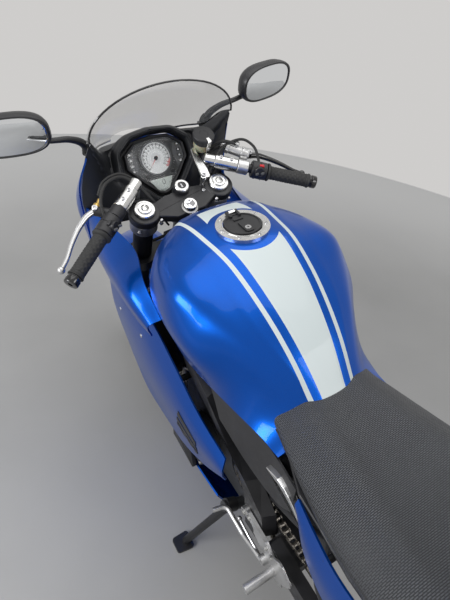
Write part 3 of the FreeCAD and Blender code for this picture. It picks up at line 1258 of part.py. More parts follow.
def build():
    """Every node in the upright bike frame, as (shape, body). The stand is already in place."""
    side_panel = fuse(list(side_pieces()))
    left_disc, right_disc = front_discs()
    parts = {
        "frame": (frame(), "chassis"),
        "subframe": (subframe(), "chassis"),
        "engine": (engine(), "chassis"),
        "chain": (chain(), "chassis"),
        "swingarm": (swingarm(), "chassis"),
        "rear_axle": (rear_axle(), "chassis"),
        "rear_caliper": (rear_caliper(), "chassis"),
        "rear_shock": (rear_shock(), "chassis"),
        "hugger": (hugger(), "chassis"),
        "radiator": (radiator(), "chassis"),
        "exhaust_headers": (exhaust_headers(), "chassis"),
        "muffler": (muffler(), "chassis"),
        "footrests": (footrests(), "chassis"),
        "passenger_pegs": (passenger_pegs(), "chassis"),
        "fuel_tank": (fuel_tank(), "chassis"),
        "filler_ring": (filler_ring(), "chassis"),
        "rider_seat": (rider_seat(), "chassis"),
        "pillion_seat": (pillion_seat(), "chassis"),
        "tail_cowl": (tail_cowl(), "chassis"),
        "tail_sides": (tail_sides(), "chassis"),
        "side_covers": (side_covers(), "chassis"),
        "tail_light": (tail_light(), "chassis"),
        "plate_holder": (plate_holder(), "chassis"),
        "indicators": (indicators(), "chassis"),
        "nose_fairing": (nose_fairing(), "chassis"),
        "windscreen": (windscreen(), "chassis"),
        "cockpit_panel": (cockpit_panel(), "chassis"),
        "dash": (dash(), "chassis"),
        "fairing_stay": (fairing_stay(), "chassis"),
        "mirrors": (mirrors(), "chassis"),
        "mirror_glasses": (mirror_glasses(), "chassis"),
        "side_fairing_right": (side_panel, "chassis"),
        "side_fairing_left": (mirrored(side_panel), "chassis"),
        "belly_fairing": (belly_fairing(), "chassis"),
        "fork_outer_tubes": (fork_outer_tubes(), "steering"),
        "fork_inner_tubes": (fork_inner_tubes(), "steering"),
        "top_clamp": (top_clamp(), "steering"),
        "lower_clamp": (lower_clamp(), "steering"),
        "clip_ons": (clip_ons(), "steering"),
        "grips": (grips(), "steering"),
        "bar_controls": (bar_controls(), "steering"),
        "brake_reservoir": (brake_reservoir(), "steering"),
        "brake_hoses": (brake_hoses(), "steering"),
        "front_calipers": (front_calipers(), "steering"),
        "front_axle": (front_axle(), "steering"),
        "front_fender": (front_fender(), "steering"),
        "front_rim": (front_rim(), "front_wheel"),
        "front_tyre": (tyre(FRONT_TYRE_R, FRONT_TYRE_W, FRONT_RIM_W, FRONT_AXLE), "front_wheel"),
        "front_discs": (Part.makeCompound([left_disc, right_disc]), "front_wheel"),
        "rear_rim": (rear_rim(), "rear_wheel"),
        "rear_tyre": (tyre(REAR_TYRE_R, REAR_TYRE_W, REAR_RIM_W, REAR_AXLE), "rear_wheel"),
        "rear_disc": (rear_disc(), "rear_wheel"),
        "rear_sprocket": (rear_sprocket(), "rear_wheel"),
        "fuel_lid": (fuel_lid(), "fuel_lid"),
    }
    return seated(parts)


# Pieces cut back to the face of what they seat on: the piece, then its neighbours.
SEATED = [
    ("fuel_tank", ["frame"]),
    ("exhaust_headers", ["engine"]),
    ("muffler", ["exhaust_headers", "footrests"]),
    ("passenger_pegs", ["subframe"]),
    ("side_covers", ["subframe", "frame", "fuel_tank"]),
    ("rider_seat", ["subframe", "fuel_tank"]),
    ("rear_shock", ["swingarm", "frame"]),
    ("radiator", ["frame"]),
    ("side_fairing_right", ["frame", "engine", "belly_fairing", "nose_fairing", "radiator"]),
    ("side_fairing_left", ["frame", "engine", "belly_fairing", "nose_fairing", "radiator"]),
    ("cockpit_panel", ["nose_fairing", "windscreen", "dash", "fairing_stay", "side_fairing_right", "side_fairing_left"]),
    ("mirrors", ["nose_fairing", "cockpit_panel", "windscreen", "fairing_stay"]),
    ("fairing_stay", ["frame", "dash", "nose_fairing"]),
    ("clip_ons", ["top_clamp", "fork_outer_tubes"]),
    ("plate_holder", ["tail_cowl"]),
    ("pillion_seat", ["tail_cowl"]),
    ("brake_hoses", ["lower_clamp"]),
    ("tail_sides", ["rider_seat", "tail_cowl", "subframe"]),
    ("footrests", ["frame"]),
    ("tail_cowl", ["subframe"]),
]


def largest(shape, count):
    """The largest solids of a shape, without the slivers that a cut leaves."""
    solids = sorted(shape.Solids, key=lambda solid: -solid.Volume)[:count]
    return solids[0] if count == 1 else Part.makeCompound(solids)


def seated(parts):
    """Each piece of SEATED cut back to the faces of its neighbours."""
    for name, neighbours in SEATED:
        shape, body = parts[name]
        count = len(shape.Solids)
        for other in neighbours:
            shape = shape.cut(parts[other][0])
        parts[name] = (largest(shape, count), body)
    return parts


def stood(parts):
    """Turns the steering, leans the bike and adds the stand."""
    turned_parts = {}
    for name, (shape, body) in parts.items():
        place = STANCE.multiply(STEER_TURN) if body in ("steering", "front_wheel") else STANCE
        placed = shape.copy()
        placed.Placement = place.multiply(placed.Placement)
        turned_parts[name] = (placed, body)
    turned_parts["side_stand"] = (side_stand(), "side_stand")
    turned_parts["stand_bracket"] = (stand_bracket(turned_parts["engine"][0]), "chassis")
    return turned_parts


def centre_shift(parts):
    """The move that puts the origin under the middle of the whole bike's box."""
    box = Part.makeCompound([shape for shape, _ in parts.values()]).optimalBoundingBox(False, False)
    return V(-(box.XMin + box.XMax) / 2, -(box.YMin + box.YMax) / 2, -box.ZMin)


def main():
    os.makedirs("parts", exist_ok=True)
    parts = stood(build())
    shift = centre_shift(parts)
    for name, (shape, _) in parts.items():
        placed = shape.copy()
        placed.translate(shift)
        placed.exportStep("parts/" + name + ".step")
    print("origin shift", shift, "nodes", len(parts))
    return parts, shift


if __name__ == "__main__":
    main()
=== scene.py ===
"""The looks of a sport bike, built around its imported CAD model."""
import bpy
import bmesh
import json
import math

from mathutils import Matrix, Vector

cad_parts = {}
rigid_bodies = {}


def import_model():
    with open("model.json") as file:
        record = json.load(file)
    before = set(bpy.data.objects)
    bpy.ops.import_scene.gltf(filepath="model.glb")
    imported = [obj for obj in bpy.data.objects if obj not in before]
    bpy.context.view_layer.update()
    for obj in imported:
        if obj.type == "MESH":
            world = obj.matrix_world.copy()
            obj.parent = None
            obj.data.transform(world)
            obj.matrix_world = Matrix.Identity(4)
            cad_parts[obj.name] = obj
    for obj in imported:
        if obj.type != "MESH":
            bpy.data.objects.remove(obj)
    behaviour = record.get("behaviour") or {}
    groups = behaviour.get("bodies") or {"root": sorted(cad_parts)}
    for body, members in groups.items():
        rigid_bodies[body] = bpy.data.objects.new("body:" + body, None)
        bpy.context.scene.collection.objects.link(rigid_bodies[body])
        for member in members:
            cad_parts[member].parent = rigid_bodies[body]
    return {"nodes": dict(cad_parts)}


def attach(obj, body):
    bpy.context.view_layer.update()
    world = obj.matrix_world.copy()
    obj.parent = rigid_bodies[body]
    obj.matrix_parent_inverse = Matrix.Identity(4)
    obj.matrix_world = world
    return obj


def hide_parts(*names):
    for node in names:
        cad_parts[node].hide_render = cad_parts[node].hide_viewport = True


for left_over in list(bpy.data.objects):
    bpy.data.objects.remove(left_over)
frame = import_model()
bpy.context.view_layer.update()

# Pieces are drawn in millimetres: in the upright bike's frame (X right, Y forward, Z up, Y = 0 midway
# between the axles), in the fork's frame (x across, y ahead of the steering axis, z up along it), or on the dash.
# Angles are in degrees, and STANCE_SHIFT alone is in metres.
LEAN, PITCH, STEER, RAKE = 9.8, -0.0604183, 4.3, 24.0
STANCE_SHIFT = (0.18210486, 0.00735761, 0.00057331)
STEER_ORIGIN = (0.0, 666.98111, 286.412115)
FORK_OFFSET = 33.4071
DASH_CENTRE, DASH_TILT = (0, 584, 935), 27.0
MIRROR_CENTRE = (325, 581, 1071)
REAR_AXLE = (0, -697.5, 315)
FORK_X, TUBE_R = 103.0, 25.0
CLAMP_TOP, CLAMP_T = 655.0, 24.0
BAR_IN, BAR_OUT = Vector((100, 88, 685)), Vector((334, -77, 670))
GRIP_START, GRIP_END, BARREL_START = 152.716, 264.716, 16.0


def turn(degrees, axis):
    return Matrix.Rotation(math.radians(degrees), 4, axis)


BIKE = Matrix.Translation(STANCE_SHIFT) @ turn(PITCH, "X") @ turn(-LEAN, "Y") @ Matrix.Scale(0.001, 4)
FORK = BIKE @ Matrix.Translation(STEER_ORIGIN) @ turn(RAKE, "X") @ turn(STEER, "Z")
DASH_IN_BIKE = Matrix.Translation(DASH_CENTRE) @ turn(90 - DASH_TILT, "X")
DASH = BIKE @ DASH_IN_BIKE
MIRRORED = Matrix.Diagonal((-1, 1, 1, 1))
MIRROR_IN_BIKE = Matrix.Translation(MIRROR_CENTRE) @ turn(12, "Z") @ turn(8, "X")
MIRROR_R, MIRROR_L = BIKE @ MIRROR_IN_BIKE, BIKE @ MIRRORED @ MIRROR_IN_BIKE
FRONT_WHEEL = FORK @ Matrix.Translation((0, FORK_OFFSET, 0))
REAR_WHEEL = BIKE @ Matrix.Translation(REAR_AXLE)


# Materials: sizes in metres, colours linear

GRAIN_DEPTH = 0.0003


def add(tree, kind, settings=None, **sockets):
    """A node, with its settings and its input values or links."""
    made = tree.nodes.new(kind)
    for key, value in (settings or {}).items():
        setattr(made, key, value)
    for key, value in sockets.items():
        numbered = key[0] == "i" and key[1:].isdigit()
        target = made.inputs[int(key[1:]) if numbered else key.replace("_", " ")]
        if isinstance(value, bpy.types.NodeSocket):
            tree.links.new(value, target)
        else:
            target.default_value = value
    return made


def math_node(tree, operation, a, b=0.0, c=0.0, clamp=False):
    return add(tree, "ShaderNodeMath", {"operation": operation, "use_clamp": clamp}, i0=a, i1=b, i2=c).outputs[0]


def mix_colours(tree, share, one, two):
    return add(tree, "ShaderNodeMix", {"data_type": "RGBA"}, i0=share, i6=one, i7=two).outputs[2]


def place_of(tree):
    return add(tree, "ShaderNodeTexCoord").outputs["Object"]


def tone(colour, factor):
    return tuple(min(1.0, c * factor) for c in colour) + (1.0,)


def noise(tree, coordinates, size, detail=3.0):
    return add(tree, "ShaderNodeTexNoise", Vector=coordinates, Scale=1.0 / size, Detail=detail).outputs["Fac"]


def bump(tree, height, strength, distance):
    return add(tree, "ShaderNodeBump", Height=height, Strength=strength, Distance=distance).outputs[0]


def surface(name, colour, rough, metallic=0.0, mottle=0.08, mottle_size=0.03, grain=0.15, grain_size=0.0009,
            rough_spread=0.08, **sockets):
    """A procedural surface: mottled colour unless it is None, uneven roughness and a fine grain in relief."""
    mat = bpy.data.materials.new(name)
    mat.use_nodes = True
    tree = mat.node_tree
    shader = tree.nodes["Principled BSDF"]
    place = place_of(tree)
    cloud = noise(tree, place, mottle_size)
    if colour is not None:
        base = mix_colours(tree, cloud, tone(colour, 1 - mottle), tone(colour, 1 + mottle))
        tree.links.new(base, shader.inputs["Base Color"])
    spread = add(tree, "ShaderNodeMapRange", Value=cloud, From_Min=0.3, From_Max=0.7,
                 To_Min=max(0.02, rough - rough_spread), To_Max=min(1.0, rough + rough_spread))
    tree.links.new(spread.outputs[0], shader.inputs["Roughness"])
    if grain > 0:
        relief = bump(tree, noise(tree, place, grain_size), grain, GRAIN_DEPTH)
        tree.links.new(relief, shader.inputs["Normal"])
    shader.inputs["Metallic"].default_value = metallic
    for key, value in sockets.items():
        shader.inputs[key.replace("_", " ")].default_value = value
    return mat


def shader_of(mat):
    return mat.node_tree.nodes["Principled BSDF"]


BLUE = (0.0003, 0.072, 0.42)
WHITE = (0.62, 0.68, 0.68, 1)
PAINT_METAL = 0.82
FLAKES_PER_METRE, FLAKE_DEPTH = 1400.0, 0.0002
GLINT_SHARE, GLINT_TONE = 0.16, 3.2


def flake_paint(name, colour, stripes=False):
    """Metallic paint under clear lacquer: glinting flakes, and white stripes where the piece carries their map."""
    mat = surface(name, colour, 0.30, metallic=PAINT_METAL, mottle=0.10, mottle_size=0.25, grain=0.0, rough_spread=0.03,
                  Coat_Weight=0.30, Coat_Roughness=0.03, Specular_IOR_Level=0.12)
    tree, shader = mat.node_tree, shader_of(mat)
    place = place_of(tree)
    flakes = add(tree, "ShaderNodeTexVoronoi", Vector=place, Scale=FLAKES_PER_METRE)
    glint = add(tree, "ShaderNodeMapRange", Value=flakes.outputs["Distance"], From_Min=0.05, From_Max=0.75, To_Min=1.0,
                To_Max=0.0)
    share = math_node(tree, "MULTIPLY", glint.outputs[0], GLINT_SHARE)
    base = shader.inputs["Base Color"].links[0].from_socket
    lively = mix_colours(tree, share, base, tone(colour, GLINT_TONE))
    tree.links.new(bump(tree, flakes.outputs["Distance"], 0.05, FLAKE_DEPTH), shader.inputs["Normal"])
    if stripes:
        mask = stripe_mask(tree)
        lively = mix_colours(tree, mask, lively, WHITE)
        tree.links.new(math_node(tree, "MULTIPLY_ADD", mask, -PAINT_METAL, PAINT_METAL), shader.inputs["Metallic"])
    tree.links.new(lively, shader.inputs["Base Color"])
    return mat


# On the tank's plan, in metres: half a line's width, the bare circle round the filler, and the band's front end.
STRIPE_HALF = 0.0043
CAP_CIRCLE_R, CAP_Y = 0.071, 0.163
BAND_FRONT_Y = 0.266


def stripe_mask(tree):
    """One where the paint is white: the wide band and the two lines, kept off a circle round the filler."""
    lines = add(tree, "ShaderNodeUVMap", {"uv_map": "lines"}).outputs[0]
    plan = add(tree, "ShaderNodeUVMap", {"uv_map": "plan"}).outputs[0]
    off = add(tree, "ShaderNodeSeparateXYZ", Vector=lines)
    at = add(tree, "ShaderNodeSeparateXYZ", Vector=plan)
    band = math_node(tree, "LESS_THAN", off.outputs[0], 0.0)
    line = math_node(tree, "LESS_THAN", math_node(tree, "ABSOLUTE", off.outputs[1]), STRIPE_HALF)
    from_cap = add(tree, "ShaderNodeVectorMath", {"operation": "DISTANCE"}, i0=plan, i1=(0.0, CAP_Y, 0.0))
    clear = math_node(tree, "GREATER_THAN", from_cap.outputs["Value"], CAP_CIRCLE_R)
    band = math_node(tree, "MULTIPLY", band, math_node(tree, "LESS_THAN", at.outputs[1], BAND_FRONT_Y))
    return math_node(tree, "MULTIPLY", math_node(tree, "MAXIMUM", band, line), clear)


# The weave's colours: painted shade near black in the grooves between the ridges, and the ridges' own dark grey.
WEAVE_GROOVE_SHADE, WEAVE_HIGH = (0.012, 0.013, 0.015, 1), (0.088, 0.091, 0.099, 1)
WEAVE_PER_METRE, WEAVE_DEPTH = 130.0, 0.0012


def vinyl():
    """Black seat vinyl with its pressed weave of short ridges, laid in rows that step by half, and painted shade in its
    grooves.
    """
    mat = surface("seat_vinyl", None, 0.46, mottle_size=0.05, grain=0.0, Specular_IOR_Level=0.45)
    tree, shader = mat.node_tree, shader_of(mat)
    plan = add(tree, "ShaderNodeUVMap", {"uv_map": "plan"}).outputs[0]
    weave = add(tree, "ShaderNodeTexBrick", {"offset": 0.5}, Vector=plan, Scale=WEAVE_PER_METRE, Mortar_Size=0.10,
                Mortar_Smooth=1.0, Brick_Width=0.85, Row_Height=0.36)
    weave.inputs["Color1"].default_value = (1, 1, 1, 1)
    weave.inputs["Color2"].default_value = (0.8, 0.8, 0.8, 1)
    weave.inputs["Mortar"].default_value = (0, 0, 0, 1)
    place = place_of(tree)
    height = math_node(tree, "MULTIPLY_ADD", noise(tree, place, 0.0006), 0.15, weave.outputs["Color"])
    tree.links.new(bump(tree, height, 1.0, WEAVE_DEPTH), shader.inputs["Normal"])
    # Painted shade: the weave's grooves are coloured near black and its ridges dark grey, following the relief.
    tree.links.new(mix_colours(tree, weave.outputs["Color"], WEAVE_GROOVE_SHADE, WEAVE_HIGH), shader.inputs["Base Color"])
    return mat


STREAKS_PER_METRE, STREAK_DEPTH = (400.0, 400.0, 14.0), 0.0002


def brushed(name, colour, rough):
    """Machined metal with fine streaks along its z."""
    mat = surface(name, colour, rough, metallic=1.0, mottle=0.10, mottle_size=0.02, grain=0.0)
    tree, shader = mat.node_tree, shader_of(mat)
    place = place_of(tree)
    scaled = add(tree, "ShaderNodeVectorMath", {"operation": "MULTIPLY"}, i0=place, i1=STREAKS_PER_METRE)
    lines = add(tree, "ShaderNodeTexNoise", Vector=scaled.outputs[0], Scale=4.0, Detail=2.0)
    tree.links.new(bump(tree, lines.outputs["Fac"], 0.10, STREAK_DEPTH), shader.inputs["Normal"])
    return mat


def see_through(name, colour, alpha):
    return surface(name, colour, 0.04, mottle=0.03, grain=0.0, rough_spread=0.02, Alpha=alpha, Coat_Weight=0.6,
                   Coat_Roughness=0.03)


M = {
    "paint": flake_paint("blue_paint", BLUE),
    "striped": flake_paint("blue_striped", BLUE, stripes=True),
    "vinyl": vinyl(),
    "satin": surface("black_satin", (0.016, 0.016, 0.018), 0.40, grain=0.12),
    "plastic": surface("black_plastic", (0.020, 0.020, 0.022), 0.50, grain=0.35, grain_size=0.0012),
    "shroud": surface("black_shroud", (0.017, 0.018, 0.021), 0.42, grain=0.25, grain_size=0.0010),
    "gloss": surface("black_gloss", (0.010, 0.010, 0.011), 0.14, grain=0.0, Coat_Weight=0.5),
    "rubber": surface("rubber", (0.018, 0.018, 0.018), 0.62, grain=0.35, grain_size=0.0008),
    "tyre": surface("tyre_rubber", (0.022, 0.022, 0.022), 0.70, mottle=0.18, grain=0.30, grain_size=0.0014),
    "steel": brushed("steel", (0.55, 0.55, 0.56), 0.30),
    "zinc": surface("zinc", (0.60, 0.60, 0.58), 0.34, metallic=1.0, grain=0.15),
    "chrome": surface("chrome", (0.80, 0.80, 0.82), 0.08, metallic=1.0, mottle=0.03, grain=0.0, rough_spread=0.03),
    "silver": surface("cast_silver", (0.62, 0.62, 0.62), 0.33, metallic=0.9, mottle=0.10, grain=0.30,
                      grain_size=0.0010),
    "machined": brushed("machined", (0.74, 0.74, 0.73), 0.22),
    "alloy": surface("engine_alloy", (0.30, 0.30, 0.31), 0.48, metallic=0.7, mottle=0.14, grain=0.4, grain_size=0.0011),
    "engine": surface("engine_grey", (0.060, 0.062, 0.066), 0.48, metallic=0.3, mottle=0.16, grain=0.4,
                      grain_size=0.0012),
    "disc": brushed("disc_steel", (0.46, 0.46, 0.47), 0.27),
    "exhaust": surface("exhaust_steel", (0.42, 0.38, 0.33), 0.28, metallic=1.0, mottle=0.25, mottle_size=0.06,
                       grain=0.1),
    "can": brushed("muffler_skin", (0.34, 0.34, 0.35), 0.30),
    "rim": surface("rim_black", (0.014, 0.014, 0.016), 0.30, grain=0.10, Coat_Weight=0.4),
    "chain": surface("chain_steel", (0.26, 0.24, 0.21), 0.38, metallic=1.0, mottle=0.25, mottle_size=0.01),
    "brass": surface("brass", (0.62, 0.42, 0.13), 0.28, metallic=1.0, grain=0.1),
    "fluid": surface("amber_cup", (0.66, 0.60, 0.40), 0.30, mottle=0.10, grain=0.1, Transmission_Weight=0.25,
                     Subsurface_Weight=0.3),
    "screen": see_through("clear_screen", (0.20, 0.21, 0.22), 0.17),
    "lens": see_through("clear_lens", (0.55, 0.56, 0.56), 0.05),
    "lamp": see_through("lamp_glass", (0.75, 0.78, 0.80), 0.30),
    "mirror": surface("mirror_glass", (0.86, 0.88, 0.90), 0.03, metallic=1.0, mottle=0.02, grain=0.0,
                      rough_spread=0.01),
    "red": surface("red_lens", (0.50, 0.008, 0.008), 0.16, grain=0.0, Coat_Weight=0.8, Transmission_Weight=0.3),
    "amber": surface("amber_lens", (0.80, 0.24, 0.01), 0.16, grain=0.0, Coat_Weight=0.8, Transmission_Weight=0.3),
    "switch_red": surface("switch_red", (0.60, 0.015, 0.02), 0.38),
    "bezel": surface("dash_bezel", (0.075, 0.078, 0.084), 0.45, grain=0.2),
    "dial": surface("dial_face", (0.92, 0.93, 0.92), 0.45, mottle=0.02, grain=0.05),
    "lcd": surface("lcd_face", (0.66, 0.72, 0.68), 0.35, mottle=0.03, grain=0.05),
    "ink": surface("dial_ink", (0.02, 0.02, 0.025), 0.50, grain=0.0),
    "faint": surface("lcd_ink", (0.20, 0.23, 0.21), 0.40, grain=0.0),
    "dial_red": surface("dial_red", (0.72, 0.04, 0.03), 0.45, grain=0.0),
    "white": surface("plain_white", (0.78, 0.79, 0.79), 0.40, mottle=0.03, grain=0.1),
}


# Shapes: each is (points, faces) in millimetres

TINY = 1e-9
UP = Vector((0, 0, 1))


def polar(radius, share):
    """Two coordinates on a circle, a share of a turn round it."""
    return radius * math.cos(2 * math.pi * share), radius * math.sin(2 * math.pi * share)


def circle(count, radius=1.0, shift=0.0):
    """Even steps round a circle, shifted by a part of a step."""
    return [polar(radius, (k + shift) / count) for k in range(count)]


def smooth_line(points, steps, closed=False, corners=()):
    """Points on a smooth curve through the given ones, which turns sharply at the corners."""
    pts = [Vector(p) for p in points]
    count = len(pts)
    legs = count if closed else count - 1
    ways = [pts[(i + 1) % count] - pts[i] for i in range(legs)]
    sizes = [max(way.length, TINY) for way in ways]
    slopes = [way / size for way, size in zip(ways, sizes)]
    ends = {}
    for i in range(count):
        inner = closed or 0 < i < count - 1
        if inner and i not in corners:
            a, b = (i - 1) % legs, i % legs
            blend = (slopes[a] * sizes[b] + slopes[b] * sizes[a]) / (sizes[a] + sizes[b])
            ends[i] = (blend, blend)
        else:
            before = slopes[(i - 1) % legs] if inner or i else slopes[0]
            ends[i] = (before, slopes[i % legs] if i < legs else slopes[-1])
    line = []
    for i in range(legs):
        p, q, size = pts[i], pts[(i + 1) % count], sizes[i]
        m, n = ends[i][1] * size, ends[(i + 1) % count][0] * size
        for k in range(steps):
            t = k / steps
            line.append(p * (1 + t * t * (2 * t - 3)) + m * (t * (t - 1) ** 2)
                        + q * (t * t * (3 - 2 * t)) + n * (t * t * (t - 1)))
    if not closed:
        line.append(pts[-1])
    return line


def smooth_grid(rows, along, across, closed=False, corners=()):
    """Rows of points refined both ways: across each row, then from row to row."""
    fine = [smooth_line(row, across, closed, corners) for row in rows]
    columns = [smooth_line(column, along) for column in zip(*fine)]
    return [list(row) for row in zip(*columns)]


def grid_faces(rows, closed=False):
    """The faces between rows of points. Each row is a ring if closed."""
    points = [p for row in rows for p in row]
    width = len(rows[0])
    faces = []
    for i in range(len(rows) - 1):
        for j in range(width if closed else width - 1):
            k = (j + 1) % width
            faces.append((i * width + j, i * width + k, (i + 1) * width + k, (i + 1) * width + j))
    return points, faces


def capped(rings):
    """A closed body: the faces between rings of points, and one at each end."""
    points, faces = grid_faces(rings, True)
    width = len(rings[0])
    return points, faces + [tuple(reversed(range(width))), tuple(range(len(points) - width, len(points)))]


def loft(rings, along, across, corners):
    """A closed body, smooth through rings of points but for the corners."""
    return capped(smooth_grid(rings, along, across, True, corners))


def ring_across(y, half, crown=None):
    """A ring across the bike from its right half as (x, z), with a point on the middle line if a crown is given."""
    middle = [] if crown is None else [(0, y, crown)]
    return middle + [(x, y, z) for x, z in half] + [(-x, y, z) for x, z in reversed(half)]


def normal_at(grid, i, j, way):
    """The unit normal of a grid at one of its points, on the side that faces a way."""
    down = grid[min(i + 1, len(grid) - 1)][j] - grid[max(i - 1, 0)][j]
    over = grid[i][min(j + 1, len(grid[0]) - 1)] - grid[i][max(j - 1, 0)]
    normal = down.cross(over)
    normal = normal.normalized() if normal.length > TINY else UP
    return -normal if normal.dot(way) < 0 else normal


def thick(rows, thickness, inside):
    """A sheet of the given thickness under a grid of points, its edges closed."""
    count, width = len(rows), len(rows[0])
    inside = Vector(inside)
    inner = [[p + normal_at(rows, i, j, inside - p) * thickness for j, p in enumerate(row)]
             for i, row in enumerate(rows)]
    points, faces = grid_faces(rows)
    shift = len(points)
    under, under_faces = grid_faces(inner)
    faces += [tuple(shift + k for k in reversed(face)) for face in under_faces]
    rim = [(0, j) for j in range(width)] + [(i, width - 1) for i in range(1, count)]
    rim += [(count - 1, j) for j in range(width - 2, -1, -1)] + [(i, 0) for i in range(count - 2, 0, -1)]
    order = [i * width + j for i, j in rim]
    faces += [(b, a, shift + a, shift + b) for a, b in zip(order, order[1:] + order[:1])]
    return points + under, faces


def axes_of(direction):
    """Two unit vectors square to a direction."""
    d = Vector(direction).normalized()
    side = Vector((1, 0, 0)) if abs(d.x) < 0.8 else Vector((0, 1, 0))
    u = (side - d * side.dot(d)).normalized()
    return d, u, d.cross(u)


def lathe(profile, start, axis, turns=32, loop=False):
    """A turned body from (along, radius) corners. A radius of zero closes it on the axis."""
    d, u, v = axes_of(axis)
    start = Vector(start)
    points, rings, faces = [], [], []
    for along, radius in profile:
        steps = [(0.0, 0.0)] if radius < 1e-6 else circle(turns)
        rings.append(list(range(len(points), len(points) + len(steps))))
        points += [start + d * along + (u * c + v * s) * radius for c, s in steps]
    for one, two in list(zip(rings, rings[1:])) + ([(rings[-1], rings[0])] if loop else []):
        for k in range(turns):
            n = (k + 1) % turns
            if len(one) == 1:
                faces.append((one[0], two[n], two[k]))
            elif len(two) == 1:
                faces.append((one[k], one[n], two[0]))
            else:
                faces.append((one[k], one[n], two[n], two[k]))
    return points, faces


def rod(start, end, radius, soft=0.8, turns=28):
    way = Vector(end) - Vector(start)
    far = way.length
    soft = min(soft, radius * 0.5, far * 0.4)
    profile = [(0, 0), (0, radius - soft), (soft, radius), (far - soft, radius), (far, radius - soft), (far, 0)]
    return lathe(profile, start, way, turns)


def ring(start, end, inner, outer, soft=0.8, turns=40):
    way = Vector(end) - Vector(start)
    far = way.length
    profile = [(0, inner), (0, outer - soft), (soft, outer), (far - soft, outer), (far, outer - soft), (far, inner)]
    return lathe(profile, start, way, turns, loop=True)


def ball(centre, radius, steps=12):
    profile = [polar(radius, k / steps / 2) for k in range(steps + 1)]
    return lathe([(-along, across) for along, across in profile], centre, UP, 20)


def bolt(at, axis, radius, height):
    """A cap bolt's head with its hexagon socket."""
    soft = min(0.6, radius * 0.2)
    head = lathe([(0, radius), (height - soft, radius), (height, radius - soft), (height, radius * 0.58)], at, axis, 20)
    socket_wall = lathe([(height, radius * 0.58), (height * 0.35, radius * 0.52), (height * 0.35, 0)], at, axis, 6)
    return join([head, socket_wall])


def sweep(points, radius, steps=8, turns=14, corners=()):
    """A round bar along a smooth curve. The radius may be a list, one for each given point."""
    line = smooth_line(points, steps, False, corners)
    radii = radius if isinstance(radius, list) else [radius] * len(points)
    shares = smooth_line([(r, 0, 0) for r in radii], steps)
    u = axes_of(line[1] - line[0])[1]
    rings = []
    for i, p in enumerate(line):
        ahead = (line[min(i + 1, len(line) - 1)] - line[max(i - 1, 0)]).normalized()
        u = (u - ahead * u.dot(ahead)).normalized()
        v = ahead.cross(u)
        rings.append([p + (u * c + v * s) * max(shares[i].x, 0.05) for c, s in circle(turns)])
    return capped(rings)


def rounded(outline, radius, steps=5):
    """A flat outline with its corners rounded."""
    pts = [Vector(p) for p in outline]
    out = []
    for i, p in enumerate(pts):
        before, after = pts[i - 1] - p, pts[(i + 1) % len(pts)] - p
        u, w = before.normalized(), after.normalized()
        half = math.acos(max(-0.9999, min(0.9999, u.dot(w)))) / 2
        reach = min(radius / math.tan(half), 0.45 * min(before.length, after.length))
        arc_r = reach * math.tan(half)
        if arc_r < 0.05 or (u + w).length < 1e-6:
            out.append(p)
            continue
        middle = p + (u + w).normalized() * (arc_r / math.sin(half))
        start, end = p + u * reach - middle, p + w * reach - middle
        out += [middle + start.slerp(end, k / steps, start.normalized()) for k in range(steps + 1)]
    return out


def inset(outline, by):
    """An outline moved inwards by a distance, corner by corner."""
    count = len(outline)
    area = sum(outline[i - 1].x * outline[i].y - outline[i].x * outline[i - 1].y for i in range(count))
    sign = 1 if area > 0 else -1
    out = []
    for i, p in enumerate(outline):
        a, b = p - outline[i - 1], outline[(i + 1) % count] - p
        na, nb = Vector((-a.y, a.x)).normalized() * sign, Vector((-b.y, b.x)).normalized() * sign
        mid = (na + nb).normalized() if (na + nb).length > 1e-6 else na
        out.append(p + mid * (by / max(0.35, mid.dot(na))))
    return out


# For a piece across an axis: which of its two outline coordinates and its height goes to x, y and z.
SPACE = {"x": (2, 0, 1), "y": (0, 2, 1), "z": (0, 1, 2)}


def plate(outline, low, high, axis="x", radius=0.0, soft=1.0):
    """A flat piece across an axis, from low to high on it, with rounded corners and chamfered edges."""
    loop = rounded(outline, radius) if radius > 0 else [Vector(p) for p in outline]
    soft = min(soft, (high - low) * 0.4)
    rings = []
    for level, by in ((low, soft), (low + soft, 0.0), (high - soft, 0.0), (high, soft)):
        rings.append([Vector([(p.x, p.y, level)[k] for k in SPACE[axis]]) for p in inset(loop, by)])
    return capped(rings)


def rectangle(x, y, half_x, half_y):
    return [(x - half_x, y - half_y), (x + half_x, y - half_y), (x + half_x, y + half_y), (x - half_x, y + half_y)]


def block(centre, size, soft=1.5, radius=3.0, axis="z"):
    """A plate over a rectangle across y or z, from its centre and its size along x, y and z."""
    (p, a), (q, b), (r, c) = [(centre[k], size[k] / 2) for k in SPACE[axis]]
    return plate(rectangle(p, q, a, b), r - c, r + c, axis, radius, soft)


def join(shapes):
    """Shapes as one, side by side."""
    points, faces = [], []
    for got, loops in shapes:
        shift = len(points)
        points += got
        faces += [tuple(shift + k for k in loop) for loop in loops]
    return points, faces


def moved(shape, matrix):
    return [matrix @ Vector(p) for p in shape[0]], shape[1]


def flipped(shape):
    """The mirror image across the bike."""
    return [Vector((-p.x, p.y, p.z)) for p in map(Vector, shape[0])], [tuple(reversed(f)) for f in shape[1]]


def both(shape):
    return join([shape, flipped(shape)])


def mirrored_parts(parts):
    return [(finish, [flipped(shape) for shape in shapes]) for finish, shapes in parts]


def placed(name, data):
    obj = bpy.data.objects.new(name, data)
    bpy.context.scene.collection.objects.link(obj)
    return obj


